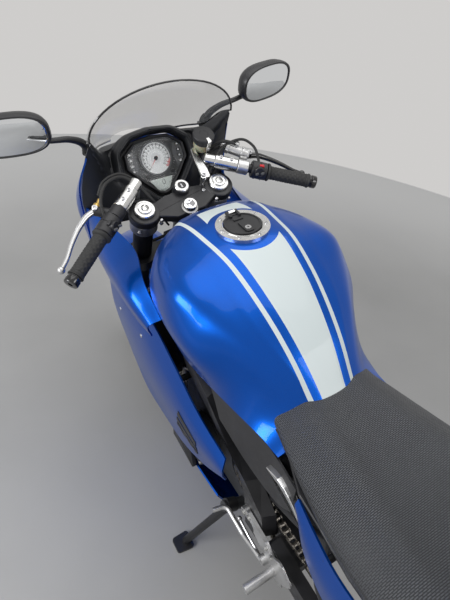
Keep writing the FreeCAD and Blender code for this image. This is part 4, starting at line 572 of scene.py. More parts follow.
def lettering(text, size, at, height=0.3):
    """Flat figures for a dial, as mesh, centred on a point of its face."""
    curve = bpy.data.curves.new("figures", "FONT")
    curve.body, curve.size, curve.align_x, curve.align_y = text, size, "CENTER", "CENTER"
    holder = placed("figures", curve)
    bpy.context.view_layer.update()
    mesh = bpy.data.meshes.new_from_object(holder.evaluated_get(bpy.context.evaluated_depsgraph_get()))
    points = [Vector(at) + v.co + UP * height for v in mesh.vertices]
    faces = [tuple(p.vertices) for p in mesh.polygons]
    bpy.data.objects.remove(holder)
    return points, faces


def piece(name, parts, place=BIKE, body="chassis", slot=None, stands_for=(), angle=34.0):
    """One object from shapes by finish, set in its place, that rides on a body."""
    points, faces, marks, finishes = [], [], [], []
    for finish, shapes in parts:
        finishes.append(finish)
        got, loops = join(shapes)
        shift = len(points)
        points += [place @ Vector(p) for p in got]
        faces += [tuple(shift + k for k in loop) for loop in loops]
        marks += [len(finishes) - 1] * len(loops)
    if place.determinant() < 0:
        faces = [tuple(reversed(loop)) for loop in faces]
    mesh = bpy.data.meshes.new(name)
    mesh.from_pydata(points, [], faces)
    mesh.validate()
    mesh.polygons.foreach_set("material_index", marks)
    for finish in finishes:
        mesh.materials.append(M[finish])
    obj = placed(name, mesh)
    shade(mesh, angle)
    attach(obj, body)
    if stands_for:
        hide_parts(*stands_for)
    return obj


def shade(mesh, angle):
    """Outward faces, smooth shading and sharp edges over an angle."""
    work = bmesh.new()
    work.from_mesh(mesh)
    bmesh.ops.remove_doubles(work, verts=work.verts, dist=1e-6)
    bmesh.ops.recalc_face_normals(work, faces=work.faces)
    for face in work.faces:
        face.smooth = True
    for edge in work.edges:
        if len(edge.link_faces) == 2:
            edge.smooth = edge.calc_face_angle(0.0) < math.radians(angle)
    work.to_mesh(mesh)
    work.free()


def carve(obj, shape):
    """Cuts a closed shape out of a piece for good."""
    mesh = bpy.data.meshes.new("cutter")
    mesh.from_pydata([BIKE @ Vector(p) for p in shape[0]], [], shape[1])
    shade(mesh, 30)
    cutter = placed("cutter", mesh)
    cut = obj.modifiers.new("cut", "BOOLEAN")
    cut.operation, cut.object, cut.solver = "DIFFERENCE", cutter, "EXACT"
    bpy.context.view_layer.update()
    result = bpy.data.meshes.new_from_object(obj.evaluated_get(bpy.context.evaluated_depsgraph_get()))
    obj.modifiers.clear()
    obj.data = result
    bpy.data.objects.remove(cutter)
    shade(result, 34)


def map_plan(obj, name, rule):
    """A UV map from each corner's place in the upright bike's frame."""
    back = BIKE.inverted() @ obj.matrix_world
    layer = obj.data.uv_layers.new(name=name)
    for loop in obj.data.loops:
        layer.data[loop.index].uv = rule(back @ obj.data.vertices[loop.vertex_index].co)


def between(table, y, column):
    """A column's value at a station of a table that runs from front to back."""
    for one, two in zip(table, table[1:]):
        if one[0] >= y >= two[0]:
            share = (one[0] - y) / (one[0] - two[0])
            return one[column] + share * (two[column] - one[column])
    return table[0][column] if y > table[0][0] else table[-1][column]


# Tank

# Tank stations. Columns: y, crown z, crease x and z, shoulder x and z, flank x and z, foot x and z.
TANK = [
    (322, 907, 48, 903, 86, 876, 98, 830, 84, 784),
    (296, 938, 74, 930, 120, 892, 138, 838, 128, 760),
    (240, 959, 94, 948, 158, 904, 178, 852, 166, 740),
    (163, 963, 96, 951, 180, 912, 196, 866, 172, 736),
    (96, 958, 96, 946, 184, 912, 200, 866, 174, 735),
    (36, 936, 95, 923, 158, 894, 188, 846, 168, 735),
    (-30, 898, 87, 887, 122, 868, 146, 816, 158, 735),
    (-84, 856, 68, 848, 92, 832, 118, 787, 148, 733),
    (-138, 800, 44, 794, 68, 782, 100, 756, 138, 730),
    (-160, 774, 38, 770, 62, 760, 102, 744, 137, 730),
    (-174, 741, 30, 740, 56, 739, 104, 738, 136, 731),
]
# Stripe layout. Columns: y, half width of the band, distance of the line from the middle.
STRIPES = [
    (330, 44, 92),
    (292, 46, 89),
    (228, 52, 85),
    (142, 56, 78),
    (114, 55, 76),
    (9, 46, 65.5),
    (-82, 35, 54.5),
    (-140, 27, 47),
    (-200, 22, 41),
]
FILLER_Y, FILLER_Z, NECK_R = 163.0, 963.0, 30.0
SCREW_CIRCLE_R, SCREWS = 46.5, 7
LID_TOP = 970.3


def tank_ring(y, crown, crease_x, crease_z, shoulder_x, shoulder_z, flank_x, flank_z, foot_x, foot_z):
    half = [(crease_x * 0.55, crown - 0.22 * (crown - crease_z)), (crease_x, crease_z), (shoulder_x, shoulder_z),
            (flank_x, flank_z), (foot_x, foot_z), (foot_x - 26, foot_z - 6.4)]
    return ring_across(y, half, crown)


def stripe_lines(p):
    x, y = abs(p.x), p.y
    return (x - between(STRIPES, y, 1)) / 1000, (x - between(STRIPES, y, 2)) / 1000


def plan_of(p):
    return p.x / 1000, p.y / 1000


def make_tank():
    shape = loft([tank_ring(*row) for row in TANK], 9, 8, corners=(2, 5, 6, 7, 8, 11))
    tank = piece("tank_shell", [("striped", [shape])], slot="blue_paint", stands_for=["fuel_tank"], angle=50)
    carve(tank, rod((0, FILLER_Y, FILLER_Z - 60), (0, FILLER_Y, FILLER_Z + 30), NECK_R, 0.1, 48))
    map_plan(tank, "plan", plan_of)
    map_plan(tank, "lines", stripe_lines)
    screws = [bolt((x, FILLER_Y + y, FILLER_Z + 5), UP, 3.2, 2.0) for x, y in circle(SCREWS, SCREW_CIRCLE_R, 0.5)]
    piece("filler_screws", [("steel", screws)], slot="steel")
    lip = ring((0, FILLER_Y, FILLER_Z + 4.8), (0, FILLER_Y, FILLER_Z + 6.2), 39.6, 42.0, 0.4, 56)
    piece("filler_lip", [("machined", [lip])], slot="cast_silver")
    rim = ring((0, FILLER_Y, LID_TOP - 0.2), (0, FILLER_Y, LID_TOP + 1.4), 33.5, 37.4, 0.5, 56)
    lock = ring((0, FILLER_Y - 20, LID_TOP + 3), (0, FILLER_Y - 20, LID_TOP + 4.2), 2.2, 6.4, 0.4, 24)
    grip_bar = plate([(-12, FILLER_Y + 12), (12, FILLER_Y + 12), (14, FILLER_Y + 22), (-14, FILLER_Y + 22)],
                     LID_TOP - 0.2, LID_TOP + 2.4, "z", 3, 0.8)
    piece("lid_trim", [("satin", [rim, grip_bar]), ("steel", [lock])], body="fuel_lid", slot="black_plastic")


# Seats

# Rider's seat. Columns: y, centre z, ridge x and z, flank x and z, edge x and z, base z.
RIDER_SEAT = [
    (-106, 784, 54, 785, 84, 774, 112, 750, 737),
    (-140, 787, 58, 789, 88, 776, 114, 749, 733),
    (-170, 789, 62, 792, 93, 778, 121, 749, 729),
    (-246, 791, 69, 798, 104, 783, 137, 750, 722),
    (-323, 794, 86, 803, 122, 786, 152, 752, 724),
    (-404, 801, 107, 811, 139, 793, 162, 762, 732),
    (-455, 820, 116, 828, 146, 808, 164, 779, 742),
    (-470, 832, 113, 838, 140, 820, 157, 792, 748),
]
# Passenger's pad, with the same columns.
PILLION = [
    (-472, 868, 84, 866, 103, 859, 112, 846, 824.3),
    (-520, 884, 88, 881, 108, 871, 118, 856, 830.9),
    (-620, 894, 80, 891, 98, 881, 106, 866, 844.7),
    (-720, 900, 62, 897, 78, 889, 84, 876, 857.2),
    (-764, 894, 44, 892, 58, 887, 62, 880, 862.3),
]


def pad_ring(y, centre, ridge_x, ridge_z, flank_x, flank_z, edge_x, edge_z, base):
    half = [(ridge_x * 0.55, centre * 0.75 + ridge_z * 0.25), (ridge_x, ridge_z), (flank_x, flank_z), (edge_x, edge_z),
            (edge_x - 2, base + 4), (edge_x - 12, base)]
    return ring_across(y, half, centre)


def seat_piece(name, table, node):
    shape = loft([pad_ring(*row) for row in table], 7, 6, corners=(5, 6, 7, 8))
    pad = piece(name, [("vinyl", [shape])], slot="seat_vinyl", stands_for=[node], angle=42)
    map_plan(pad, "plan", plan_of)


def make_seats():
    seat_piece("rider_pad", RIDER_SEAT, "rider_seat")
    seat_piece("pillion_pad", PILLION, "pillion_seat")
    welt = sweep([(row[6] + 0.4, row[0], row[7] - 3) for row in RIDER_SEAT], 1.6, 6, 8)
    pan = plate([(-104, -112), (104, -112), (132, -246), (158, -300), (166, -375), (166, -436), (150, -468),
                 (-150, -468), (-166, -436), (-166, -375), (-158, -300), (-132, -246)], 716, 724, "z", 12, 2)
    piece("seat_seams", [("plastic", [both(welt)]), ("satin", [pan])], slot="black_plastic")


# Tail. Columns: y, top z, top x, side x and z, low x and z.
TAIL = [
    (-473, 824, 112, 160, 800, 132, 742),
    (-560, 836, 112, 150, 812, 118, 762),
    (-660, 850, 92, 124, 830, 96, 788),
    (-764, 862, 58, 92, 850, 72, 818),
    (-840, 886, 40, 66, 872, 52, 842),
    (-896, 900, 22, 38, 890, 30, 866),
]
# Tail side strips. Columns: y, upper x and z, lower x and z.
TAIL_SIDE = [
    (-246, 146, 720, 148, 690),
    (-300, 158, 721, 168, 650),
    (-375, 170, 727, 180, 634),
    (-440, 170, 740, 178, 676),
    (-472.5, 162, 746, 154, 722),
]
# Side cover rows, front to back. Columns: three points down the cover, each x, y, z.
SIDE_COVER = [
    ((156, 40, 730), (160, 10, 700), (165, -20, 668)),
    ((148, -60, 728), (150, -90, 680), (150, -110, 606)),
    ((136, -130, 724), (140, -170, 670), (140, -190, 590)),
    ((140, -232, 718), (144, -234, 690), (142, -236, 640)),
]
# Silver crescent on the side cover: its outline as y, z.
ACCENT = [(-150, 681), (-172, 693), (-193, 701), (-212, 700), (-228, 693), (-244, 682), (-258, 667), (-270, 646),
          (-260, 656), (-248, 667), (-234, 676), (-217, 683), (-196, 688), (-174, 686)]


def make_tail():
    rings = []
    for y, top, top_x, side_x, side_z, low_x, low_z in TAIL:
        half = [(top_x * 0.5, top + 1.5), (top_x, top), (side_x, side_z), (low_x, low_z), (low_x * 0.5, low_z - 2)]
        rings.append(ring_across(y, half))
    cowl = loft(rings, 7, 5, corners=(1, 2, 3, 6, 7, 8))
    piece("tail_shell", [("paint", [cowl])], slot="blue_paint", stands_for=["tail_cowl"], angle=30)
    rows = []
    for y, top_x, top_z, low_x, low_z in TAIL_SIDE:
        rows.append([(top_x, y, top_z), ((top_x + low_x) / 2 + 5, y, (top_z + low_z) / 2), (low_x, y, low_z)])
    strip = thick(smooth_grid(rows, 6, 5), 4, (0, -350, 600))
    peg = rod((104, -340, 708), (168, -340, 708), 6)
    piece("tail_strips", [("paint", [both(strip)]), ("plastic", [both(peg)])], slot="blue_paint",
          stands_for=["tail_sides"], angle=40)
    cover = thick(smooth_grid(SIDE_COVER, 6, 5), 4, (0, -100, 600))
    cover_peg = rod((104, -192, 672), (141, -192, 672), 7)
    accent = plate(ACCENT, 134, 149, "x", 3, 1.2)
    piece("side_panels", [("plastic", [both(cover), both(cover_peg)]), ("silver", [both(accent)])],
          slot="black_plastic", stands_for=["side_covers"], angle=40)


NOSE_MIDDLE = Vector((0, 600, 800))
# Nose rows, front to back. Columns: five points from the centre line to the jaw, each x, y, z.
NOSE = [
    ((0, 852, 770), (29, 851, 774), (58, 842, 772), (92, 822, 752), (70, 826, 716)),
    ((0, 842, 842), (42, 834, 842), (84, 818, 836), (140, 776, 806), (112, 790, 690)),
    ((0, 806, 896), (55, 794, 896), (110, 774, 890), (180, 710, 854), (172, 716, 700)),
    ((0, 792, 908), (69, 763, 918), (140, 726, 920), (206, 662, 850), (205, 642, 716)),
    ((0, 785, 916), (92, 718, 926), (166, 632, 950), (208, 626, 878), (208, 620, 732)),
    ((0, 778, 922), (112, 680, 934), (187, 536, 1002), (208, 592, 905), (210, 600, 748)),
]
# Screen rows, front to back. Columns: y and z of the middle, half width, drop and set-back of the edge.
SCREEN = [
    (784, 943, 62, 10, 28),
    (716, 996, 118, 28, 54),
    (640, 1052, 154, 57, 50),
    (560, 1110, 174, 82, 10),
    (477, 1148, 179, 102, -29),
]


def nose_grid():
    rows = [[(-x, y, z) for x, y, z in reversed(row[1:])] + list(row) for row in NOSE]
    return smooth_grid(rows, 6, 6, corners=(2, 6))


def screen_row(y, z, half, drop, back, count=28):
    row = []
    for i in range(count + 1):
        x, level = polar(1, (1 - i / count) / 2)
        row.append(Vector((half * x, y - back * (1 - level), z - drop * (1 - level))))
    return row


def make_nose():
    shell = thick(nose_grid(), 4, NOSE_MIDDLE)
    piece("nose_shell", [("paint", [shell])], slot="blue_paint", stands_for=["nose_fairing"], angle=40)
    fine = smooth_grid([screen_row(*row) for row in SCREEN], 6, 1)
    pane = thick(fine, 3, (0, 600, 900))
    rim = [row[0] for row in fine] + fine[-1][1:-1] + [row[-1] for row in reversed(fine)]
    piece("screen_pane", [("screen", [pane])], slot="clear_screen", stands_for=["windscreen"], angle=50)
    piece("screen_edge", [("gloss", [sweep(rim, 2.3, 1, 8, corners=range(len(rim)))])], slot="black_plastic")


def raised(grid, rows, columns, lift):
    """Part of the nose's fine grid, moved out along its own normals."""
    return [[grid[i][j] + normal_at(grid, i, j, grid[i][j] - NOSE_MIDDLE) * lift for j in columns] for i in rows]


def headlamps():
    """Two lamps under clear covers on the nose, with bright bowls and a black surround, and the intakes beside them."""
    grid = nose_grid()
    bed, rim, cover = [raised(grid, range(1, 9), range(26, 41), lift) for lift in (0.9, 3.0, 5.0)]
    mouth = raised(grid, range(3, 10), range(43, 48), 1.6)
    edge = rim[0] + [row[-1] for row in rim[1:]] + rim[-1][-2::-1] + [row[0] for row in rim[-2:0:-1]]
    trim = sweep(edge + edge[:2], 3.0, 1, 10, corners=range(len(edge) + 2))
    bowls = []
    for i, j, radius in ((5, 31, 19), (5, 37, 14)):
        at, out = [raised(grid, [i], [j], lift)[0][0] for lift in (1.2, 5.0)]
        profile = [(2.6, 1), (1.4, 0.8), (0.2, 0.45), (0.2, 0.24), (2.4, 0.2), (2.9, 0)]
        bowls.append(both(lathe([(along, share * radius) for along, share in profile], at, out - at, 36)))
    piece("headlamp_covers", [("lamp", [both(thick(cover, 1.5, NOSE_MIDDLE))])], slot="clear_screen")
    piece("headlamp_bowls", [("chrome", bowls), ("gloss", [both(thick(bed, 1.5, NOSE_MIDDLE)), both(trim)]),
                             ("plastic", [both(thick(mouth, 2.5, NOSE_MIDDLE))])], slot="chrome")


# Black panel round the dash. Columns: the dash outline's point (x, y on its face) and the panel's outer edge there.
SHROUD = [
    ((0, 66), (0, 770, 924)),
    ((30, 63), (62, 738, 932)),
    ((54, 59), (110, 676, 956)),
    ((76, 44), (150, 592, 988)),
    ((91, 31), (171, 552, 1024)),
    ((96, 8), (177, 512, 1041)),
    ((96, -14), (187, 538, 1000)),
    ((78, -38), (195, 568, 945)),
    ((58, -62), (203, 590, 892)),
    ((40, -80), (205, 598, 840)),
    ((22, -98), (190, 592, 802)),
    ((8, -103), (100, 566, 792)),
    ((0, -104), (0, 556, 800)),
]
# The panel's profile round the dash. Columns: scale of the outline, height over the dash's face.
HOOD = [(0.95, -12), (1.01, 9), (1.06, 14), (1.12, 8), (1.19, -8)]


def make_cockpit():
    rows = []
    for (x, y), outer in SHROUD:
        spoke = [DASH_IN_BIKE @ Vector((x * scale, y * scale, height)) for scale, height in HOOD]
        rows.append(spoke + [spoke[-1].lerp(Vector(outer), 0.5) - UP * 7, Vector(outer)])
    rows += [[Vector((-p.x, p.y, p.z)) for p in row] for row in reversed(rows[1:-1])]
    panel = thick(smooth_grid(rows + rows[:1], 5, 5), 3, (0, 640, 840))
    piece("cockpit_shroud", [("shroud", [panel])], slot="black_plastic", stands_for=["cockpit_panel"], angle=50)


# Dash, on its face: x across, y up, z out

DASH_HALF = [(0, 66), (52, 60), (94, 30), (96, -16), (58, -62), (22, -98), (0, -104)]
# A lamp panel's outline at the right.
LAMP_PANEL = [(50, 34), (74, 26), (84, 4), (72, -34), (50, -36), (52, 0)]
LAMP_X, LAMP_LEVELS = 66, (22, 8, -6, -20)
# The dial runs clockwise from its start in degrees, with DIAL_STEPS ticks to a number and a red band from DIAL_RED on.
DIAL_R, DIAL_START, DIAL_SWEEP, DIAL_TOP, DIAL_RED, DIAL_STEPS = 39.0, 225.0, 270.0, 16, 14, 5
RED_PARTS = 13


def dash_outline(scale):
    half = [(x * scale, y * scale) for x, y in DASH_HALF]
    return half + [(-x, y) for x, y in reversed(half[1:-1])]


def dial_way(value):
    """The unit vector from the dial's middle towards a value on it."""
    return Vector((*polar(1, (DIAL_START - DIAL_SWEEP * value / DIAL_TOP) / 360), 0))


def dial_marks():
    """The dial's dark marks with its numbers, and its red ones with the needle at zero."""
    ticks, reds = [], []
    for k in range(DIAL_TOP * DIAL_STEPS + 1):
        out = dial_way(k / DIAL_STEPS)
        inner, half = (DIAL_R - 8.5, 0.95) if k % DIAL_STEPS == 0 else (DIAL_R - 6.0, 0.42)
        low, high, across = out * inner - UP * 0.55, out * (DIAL_R - 2.4) - UP * 0.55, UP.cross(out) * half
        mark = [low - across, low + across, high + across, high - across], [(0, 1, 2, 3)]
        (reds if k >= DIAL_RED * DIAL_STEPS + 2 else ticks).append(mark)
    figures = [lettering(str(k), 7.6, dial_way(k) * (DIAL_R - 13.5) - UP * 0.75) for k in range(DIAL_TOP + 1)]
    for k in range(RED_PARTS):
        a, b = [dial_way(DIAL_RED + (DIAL_TOP - DIAL_RED) * (k + j) / RED_PARTS) for j in (0, 1)]
        corners = [a * (DIAL_R - 2.2), b * (DIAL_R - 2.2), b * (DIAL_R - 0.6), a * (DIAL_R - 0.6)]
        reds.append(([p - UP * 0.6 for p in corners], [(3, 2, 1, 0)]))
    point = dial_way(0)
    side = UP.cross(point) * 1.3
    reds.append(([p + UP * 1.4 for p in (point * 30, side - point * 6, -side - point * 6)], [(0, 1, 2)]))
    return ticks + figures, reds


def dash_lip():
    outer, inner = [rounded(dash_outline(scale), radius) for scale, radius in ((1.0, 14), (0.92, 12))]
    rows = []
    for p, q in zip(outer, inner):
        profile = [(p, 1, -6), (p, 1, 4), (p, 0.985, 6), (q, 1, 4.5), (q, 1, -4)]
        rows.append([Vector((at.x * scale, at.y * scale, z)) for at, scale, z in profile])
    return grid_faces(rows + rows[:1])


def make_dash():
    case = plate(dash_outline(1.0), -46, -4, "z", 14, 3)
    bed = plate(dash_outline(0.93), -5.2, -4, "z", 12, 0.2)
    backing = plate(dash_outline(1.12), -34, -12, "z", 16, 3)
    lens = plate(dash_outline(0.90), 2.2, 3.2, "z", 12, 0.3)
    rim = ring((0, 0, -4), (0, 0, 1.4), DIAL_R, DIAL_R + 4.5, 1.2, 64)
    face = lathe([(0, 0), (0, DIAL_R), (-1, DIAL_R)], (0, 0, -0.8), UP, 64)
    inner_face = ring((0, 0, -0.8), (0, 0, -0.2), 0.1, 13.5, 0.1, 48)
    hub = lathe([(0, 5.6), (2.0, 5.2), (2.6, 4.2), (2.6, 0)], (0, 0, -0.4), UP, 32)
    marks, reds = dial_marks()
    lcd_rim = plate([(-43, -44), (43, -44), (18, -94), (-18, -94)], -4, -1.2, "z", 6, 1.0)
    lcd = plate([(-38, -47.5), (38, -47.5), (15, -90), (-15, -90)], -1.6, -0.9, "z", 5, 0.2)
    digits = [lettering(text, size, (x, y, -1.0), height=0.2)
              for text, size, x, y in (("0", 20, 4, -62), ("km/h", 4.5, 22, -66), ("000000", 7.5, 0, -81))]
    lamps, panels, icons = [], [], []
    for s in (-1, 1):
        panels.append(plate([(s * x, y) for x, y in LAMP_PANEL], -4, -2.2, "z", 5, 0.6))
        for y in LAMP_LEVELS:
            x = s * LAMP_X
            lamps.append(plate(rectangle(x, y, 6, 4), -2.4, -1.6, "z", 1.5, 0.3))
            icons.append(plate([(x - 2.6, y - 1.4), (x + 2.6, y - 1.4), (x, y + 2.4)], -1.7, -1.4, "z", 0.4, 0.05))
    knobs = [rod((s * 36, -40, -4), (s * 36, -40, 5), 4.0) for s in (-1, 1)]
    piece("dash_case", [("plastic", [case, dash_lip(), backing]), ("bezel", [bed] + panels + [rim]),
                        ("gloss", lamps + [lcd_rim]), ("dial", [face] + icons), ("white", [inner_face]), ("lcd", [lcd]),
                        ("faint", digits), ("ink", marks + [hub]), ("dial_red", reds), ("satin", knobs)],
          place=DASH, slot="dash_grey", stands_for=["dash"], angle=40)
    piece("dash_cover", [("lens", [lens])], place=DASH, slot="clear_screen")


# Steering pieces, in the fork's frame

BAR_WAY, BAR_LENGTH = (BAR_OUT - BAR_IN).normalized(), (BAR_OUT - BAR_IN).length


def fork_piece(name, parts, slot, **more):
    piece(name, parts, place=FORK, body="steering", slot=slot, **more)


def bar_point(along, ahead=0.0, up=0.0):
    """A place by the right bar, from its inner end."""
    forward = UP.cross(BAR_WAY).normalized()
    return BAR_IN + BAR_WAY * along + forward * ahead + UP * up


def clamp_outline(waist):
    o = FORK_OFFSET
    return [(-FORK_X, o - 26), (-40, -waist), (40, -waist), (FORK_X, o - 26), (FORK_X, o + 22), (38, 44), (-38, 44),
            (-FORK_X, o + 22)]


LOCK = (9, 56, CLAMP_TOP + 11)


def make_clamps():
    bottom = CLAMP_TOP - CLAMP_T
    bridge = plate(clamp_outline(24), bottom, CLAMP_TOP - 1.0, "z", 12, 2.0)
    rings = [ring((s * FORK_X, FORK_OFFSET, bottom), (s * FORK_X, FORK_OFFSET, CLAMP_TOP), TUBE_R, TUBE_R + 12, 2.0, 56)
             for s in (-1, 1)]
    x, y, z = LOCK
    lock_body = rod((x * 0.4, y - 1, bottom - 34), LOCK, 20, 2.0, 40)
    lock_ring = ring((x, y, z - 2), (x, y, z + 3), 10.5, 17.5, 1.6, 48)
    lock_face = lathe([(0, 10.6), (-1.2, 9.0), (-1.2, 0)], (x, y, z + 2.2), UP, 32)
    key_slot = plate(rectangle(x, y, 1.2, 5), z + 1.0, z + 1.6, "z", 0.6, 0.1)
    nut_foot = (0, 0, CLAMP_TOP - 0.6)
    nut = lathe([(0, 20), (3.0, 20), (5.0, 16.6), (14.5, 16.2), (16, 14.8), (16, 10.2)], nut_foot, UP, 48)
    nut_hex = lathe([(16, 10.2), (7, 9.8), (7, 0)], nut_foot, UP, 6)
    pinch = [bolt((s * (FORK_X - 26), FORK_OFFSET - 34, CLAMP_TOP - depth), (0, -1, 0), 4.6, 5)
             for s in (-1, 1) for depth in (6, 17)]
    pinch.append(bolt((58, 30, CLAMP_TOP - 1.2), UP, 4.2, 3.4))
    fork_piece("upper_clamp", [("satin", [bridge] + rings + [lock_body]), ("machined", [lock_ring, nut]),
                               ("chrome", [nut_hex]), ("gloss", [lock_face]), ("steel", pinch + [key_slot])],
               "black_plastic", stands_for=["top_clamp"], angle=32)
    tube = [(291, 20.8), (291, 27), (293, 28), (316, 28), (318, 27), (322, TUBE_R), (656, TUBE_R), (657, TUBE_R - 1)]
    cap = [(655.5, 24.4), (661.5, 24.4), (663.6, 22.8), (663.6, 19.2), (662.6, 18.6), (662.6, 16.4), (665.2, 15.6),
           (667.4, 14.8), (667.4, 9.6)]
    hexagon, screw = [(667.4, 9.6), (661.0, 9.2), (661.0, 5.4)], [(661.0, 5.4), (664.0, 5.2), (664.8, 4.4), (664.8, 0)]
    feet = [(s * FORK_X, FORK_OFFSET, 0) for s in (-1, 1)]
    tubes = [lathe(tube, foot, UP, 48) for foot in feet]
    caps = [lathe(profile, foot, UP, turns)
            for foot in feet for profile, turns in ((cap, 56), (hexagon, 6), (screw, 20))]
    fork_piece("fork_uppers", [("satin", tubes), ("machined", caps)], "black_plastic", stands_for=["fork_outer_tubes"],
               angle=32)


def make_bars():
    """Clip-on bars: clamp ring, boss, machined barrel and the bar itself."""
    top = CLAMP_TOP - CLAMP_T - 1
    x, y = FORK_X, FORK_OFFSET
    collar = ring((x, y, top - 34), (x, y, top), TUBE_R + 0.2, TUBE_R + 9, 2.0, 48)
    web = plate([(x - 24, y + 10), (x + 24, y + 10), (x + 20, BAR_IN.y - 6), (x - 8, BAR_IN.y - 2)], top - 30, top - 2,
                "z", 4, 1.5)
    back = y + TUBE_R + 13
    riser = plate([(x - 14, back), (x + 22, back), (x + 20, back + 16), (x - 8, back + 24)], top - 30, BAR_IN.z,
                  "z", 4, 1.5)
    barrel = rod(bar_point(BARREL_START), bar_point(BARREL_START + 58), 17, 1.6, 40)
    inner_cap = ring(bar_point(-10), bar_point(BARREL_START + 1), 10.8, 15, 2.0, 32)
    bar = rod(bar_point(-14), bar_point(GRIP_END), 11, 0.6, 28)
    bolts = [bolt(bar_point(BARREL_START + along, 0, 17), UP, 4.4, 4) for along in (15, 42)]
    bolts.append(bolt((x + 24, y - 24, top - 17), (1, -0.6, 0), 4.6, 5))
    groups = [("silver", [collar, web, riser]), ("machined", [barrel, inner_cap]), ("satin", [bar]), ("steel", bolts)]
    fork_piece("clip_on_bars", [(finish, [both(shape) for shape in shapes]) for finish, shapes in groups],
               "cast_silver", stands_for=["clip_ons"], angle=32)


def ribbed_grip():
    """The rubber sleeve, with raised pads in rows round it between two plain collars."""
    start, length = GRIP_START + 7, GRIP_END - GRIP_START - 9
    u, v = axes_of(BAR_WAY)[1:]
    rows_along, turns = 64, 48
    rows = []
    for i in range(rows_along + 1):
        t = i / rows_along
        belly = 15.2 + 0.5 * math.cos(math.pi * (t - 0.5))
        row = []
        for k, (c, s) in enumerate(circle(turns)):
            lane = (k + (3 if (i // 4) % 2 else 0)) % 6
            pad = 1.1 if lane < 4 and i % 4 < 3 else 0.0
            row.append(bar_point(start + length * t) + (u * c + v * s) * (belly + (pad if 0.07 < t < 0.93 else 1.3)))
        rows.append(row)
    return grid_faces(rows, True)


def make_grips():
    end = bar_point(GRIP_END)
    flange = lathe([(0, 11), (0, 21), (1.4, 22), (4.4, 22), (6.2, 20.4), (9, 16.4), (9, 11)],
                   bar_point(GRIP_START), BAR_WAY, 48)
    end_lip = lathe([(-4, 16.0), (-2, 18.0), (0.5, 18.0), (1.2, 16), (1.2, 11)], end, BAR_WAY, 48)
    weight = lathe([(0, 11), (0.4, 15.6), (3.0, 16.2), (5.0, 14.4), (6.5, 14.4), (8.0, 16.2), (18.6, 16.2),
                    (20.4, 15.0), (20.8, 13.6), (20.8, 5.4)], end, BAR_WAY, 48)
    socket = lathe([(20.8, 5.4), (16, 5.2), (16, 0)], end, BAR_WAY, 6)
    shapes = [("rubber", [both(ribbed_grip()), both(flange), both(end_lip)]), ("gloss", [both(weight), both(socket)])]
    fork_piece("grip_sleeves", shapes, "grip_rubber", stands_for=["grips"], angle=38)


def hand_lever(start, end, pivot):
    """A flat blade that swells to a ball end."""
    rows = [(start, pivot, -2), (start + 22, pivot + 9, -4), (start + 44, pivot + 11, -7), (start + 90, pivot + 6, -12),
            (end - 22, pivot - 3, -17), (end - 6, pivot - 4, -19)]
    blade = sweep([bar_point(*row) for row in rows], [7.6, 7.4, 6.6, 5.6, 5.0, 5.2], 8, 16)
    return [blade, ball(bar_point(end, pivot - 4, -20), 8.8)]


def switch_housing(width):
    """The switch box: two halves round the bar with a seam and a raised lug, and its screws, buttons and rocker."""
    end = GRIP_START - 1
    profile = [(0, 11.5), (0, 19), (2, 21.4), (width * 0.47, 21.8), (width * 0.48, 20.6), (width * 0.52, 20.6),
               (width * 0.53, 21.8), (width - 2, 21.4), (width, 19), (width, 11.5)]
    box = lathe(profile, bar_point(end - width), BAR_WAY, 40)
    lug = rod(bar_point(end - width * 0.5, 4, 4), bar_point(end - width * 0.5, -21, 16), 12.5, 2.0, 24)
    screws = [bolt(bar_point(end - width * share, -10, -18.5), (0, -0.4, -1), 2.6, 2.4) for share in (0.3, 0.72)]
    button, rocker = block((0, 0, 0), (11, 7, 6), 1.2, 2), block((0, 0, 0), (13, 9, 7), 1.4, 2)
    buttons = [moved(button, Matrix.Translation(bar_point(end - width * share, ahead, up)) @ turn(-32, "X"))
               for share, ahead, up in ((0.34, -24, 17), (0.66, -25, 12))]
    rocker = moved(rocker, Matrix.Translation(bar_point(end - width * 0.42, -6, 23)) @ turn(-30, "Z"))
    return [box, lug], screws, buttons, rocker


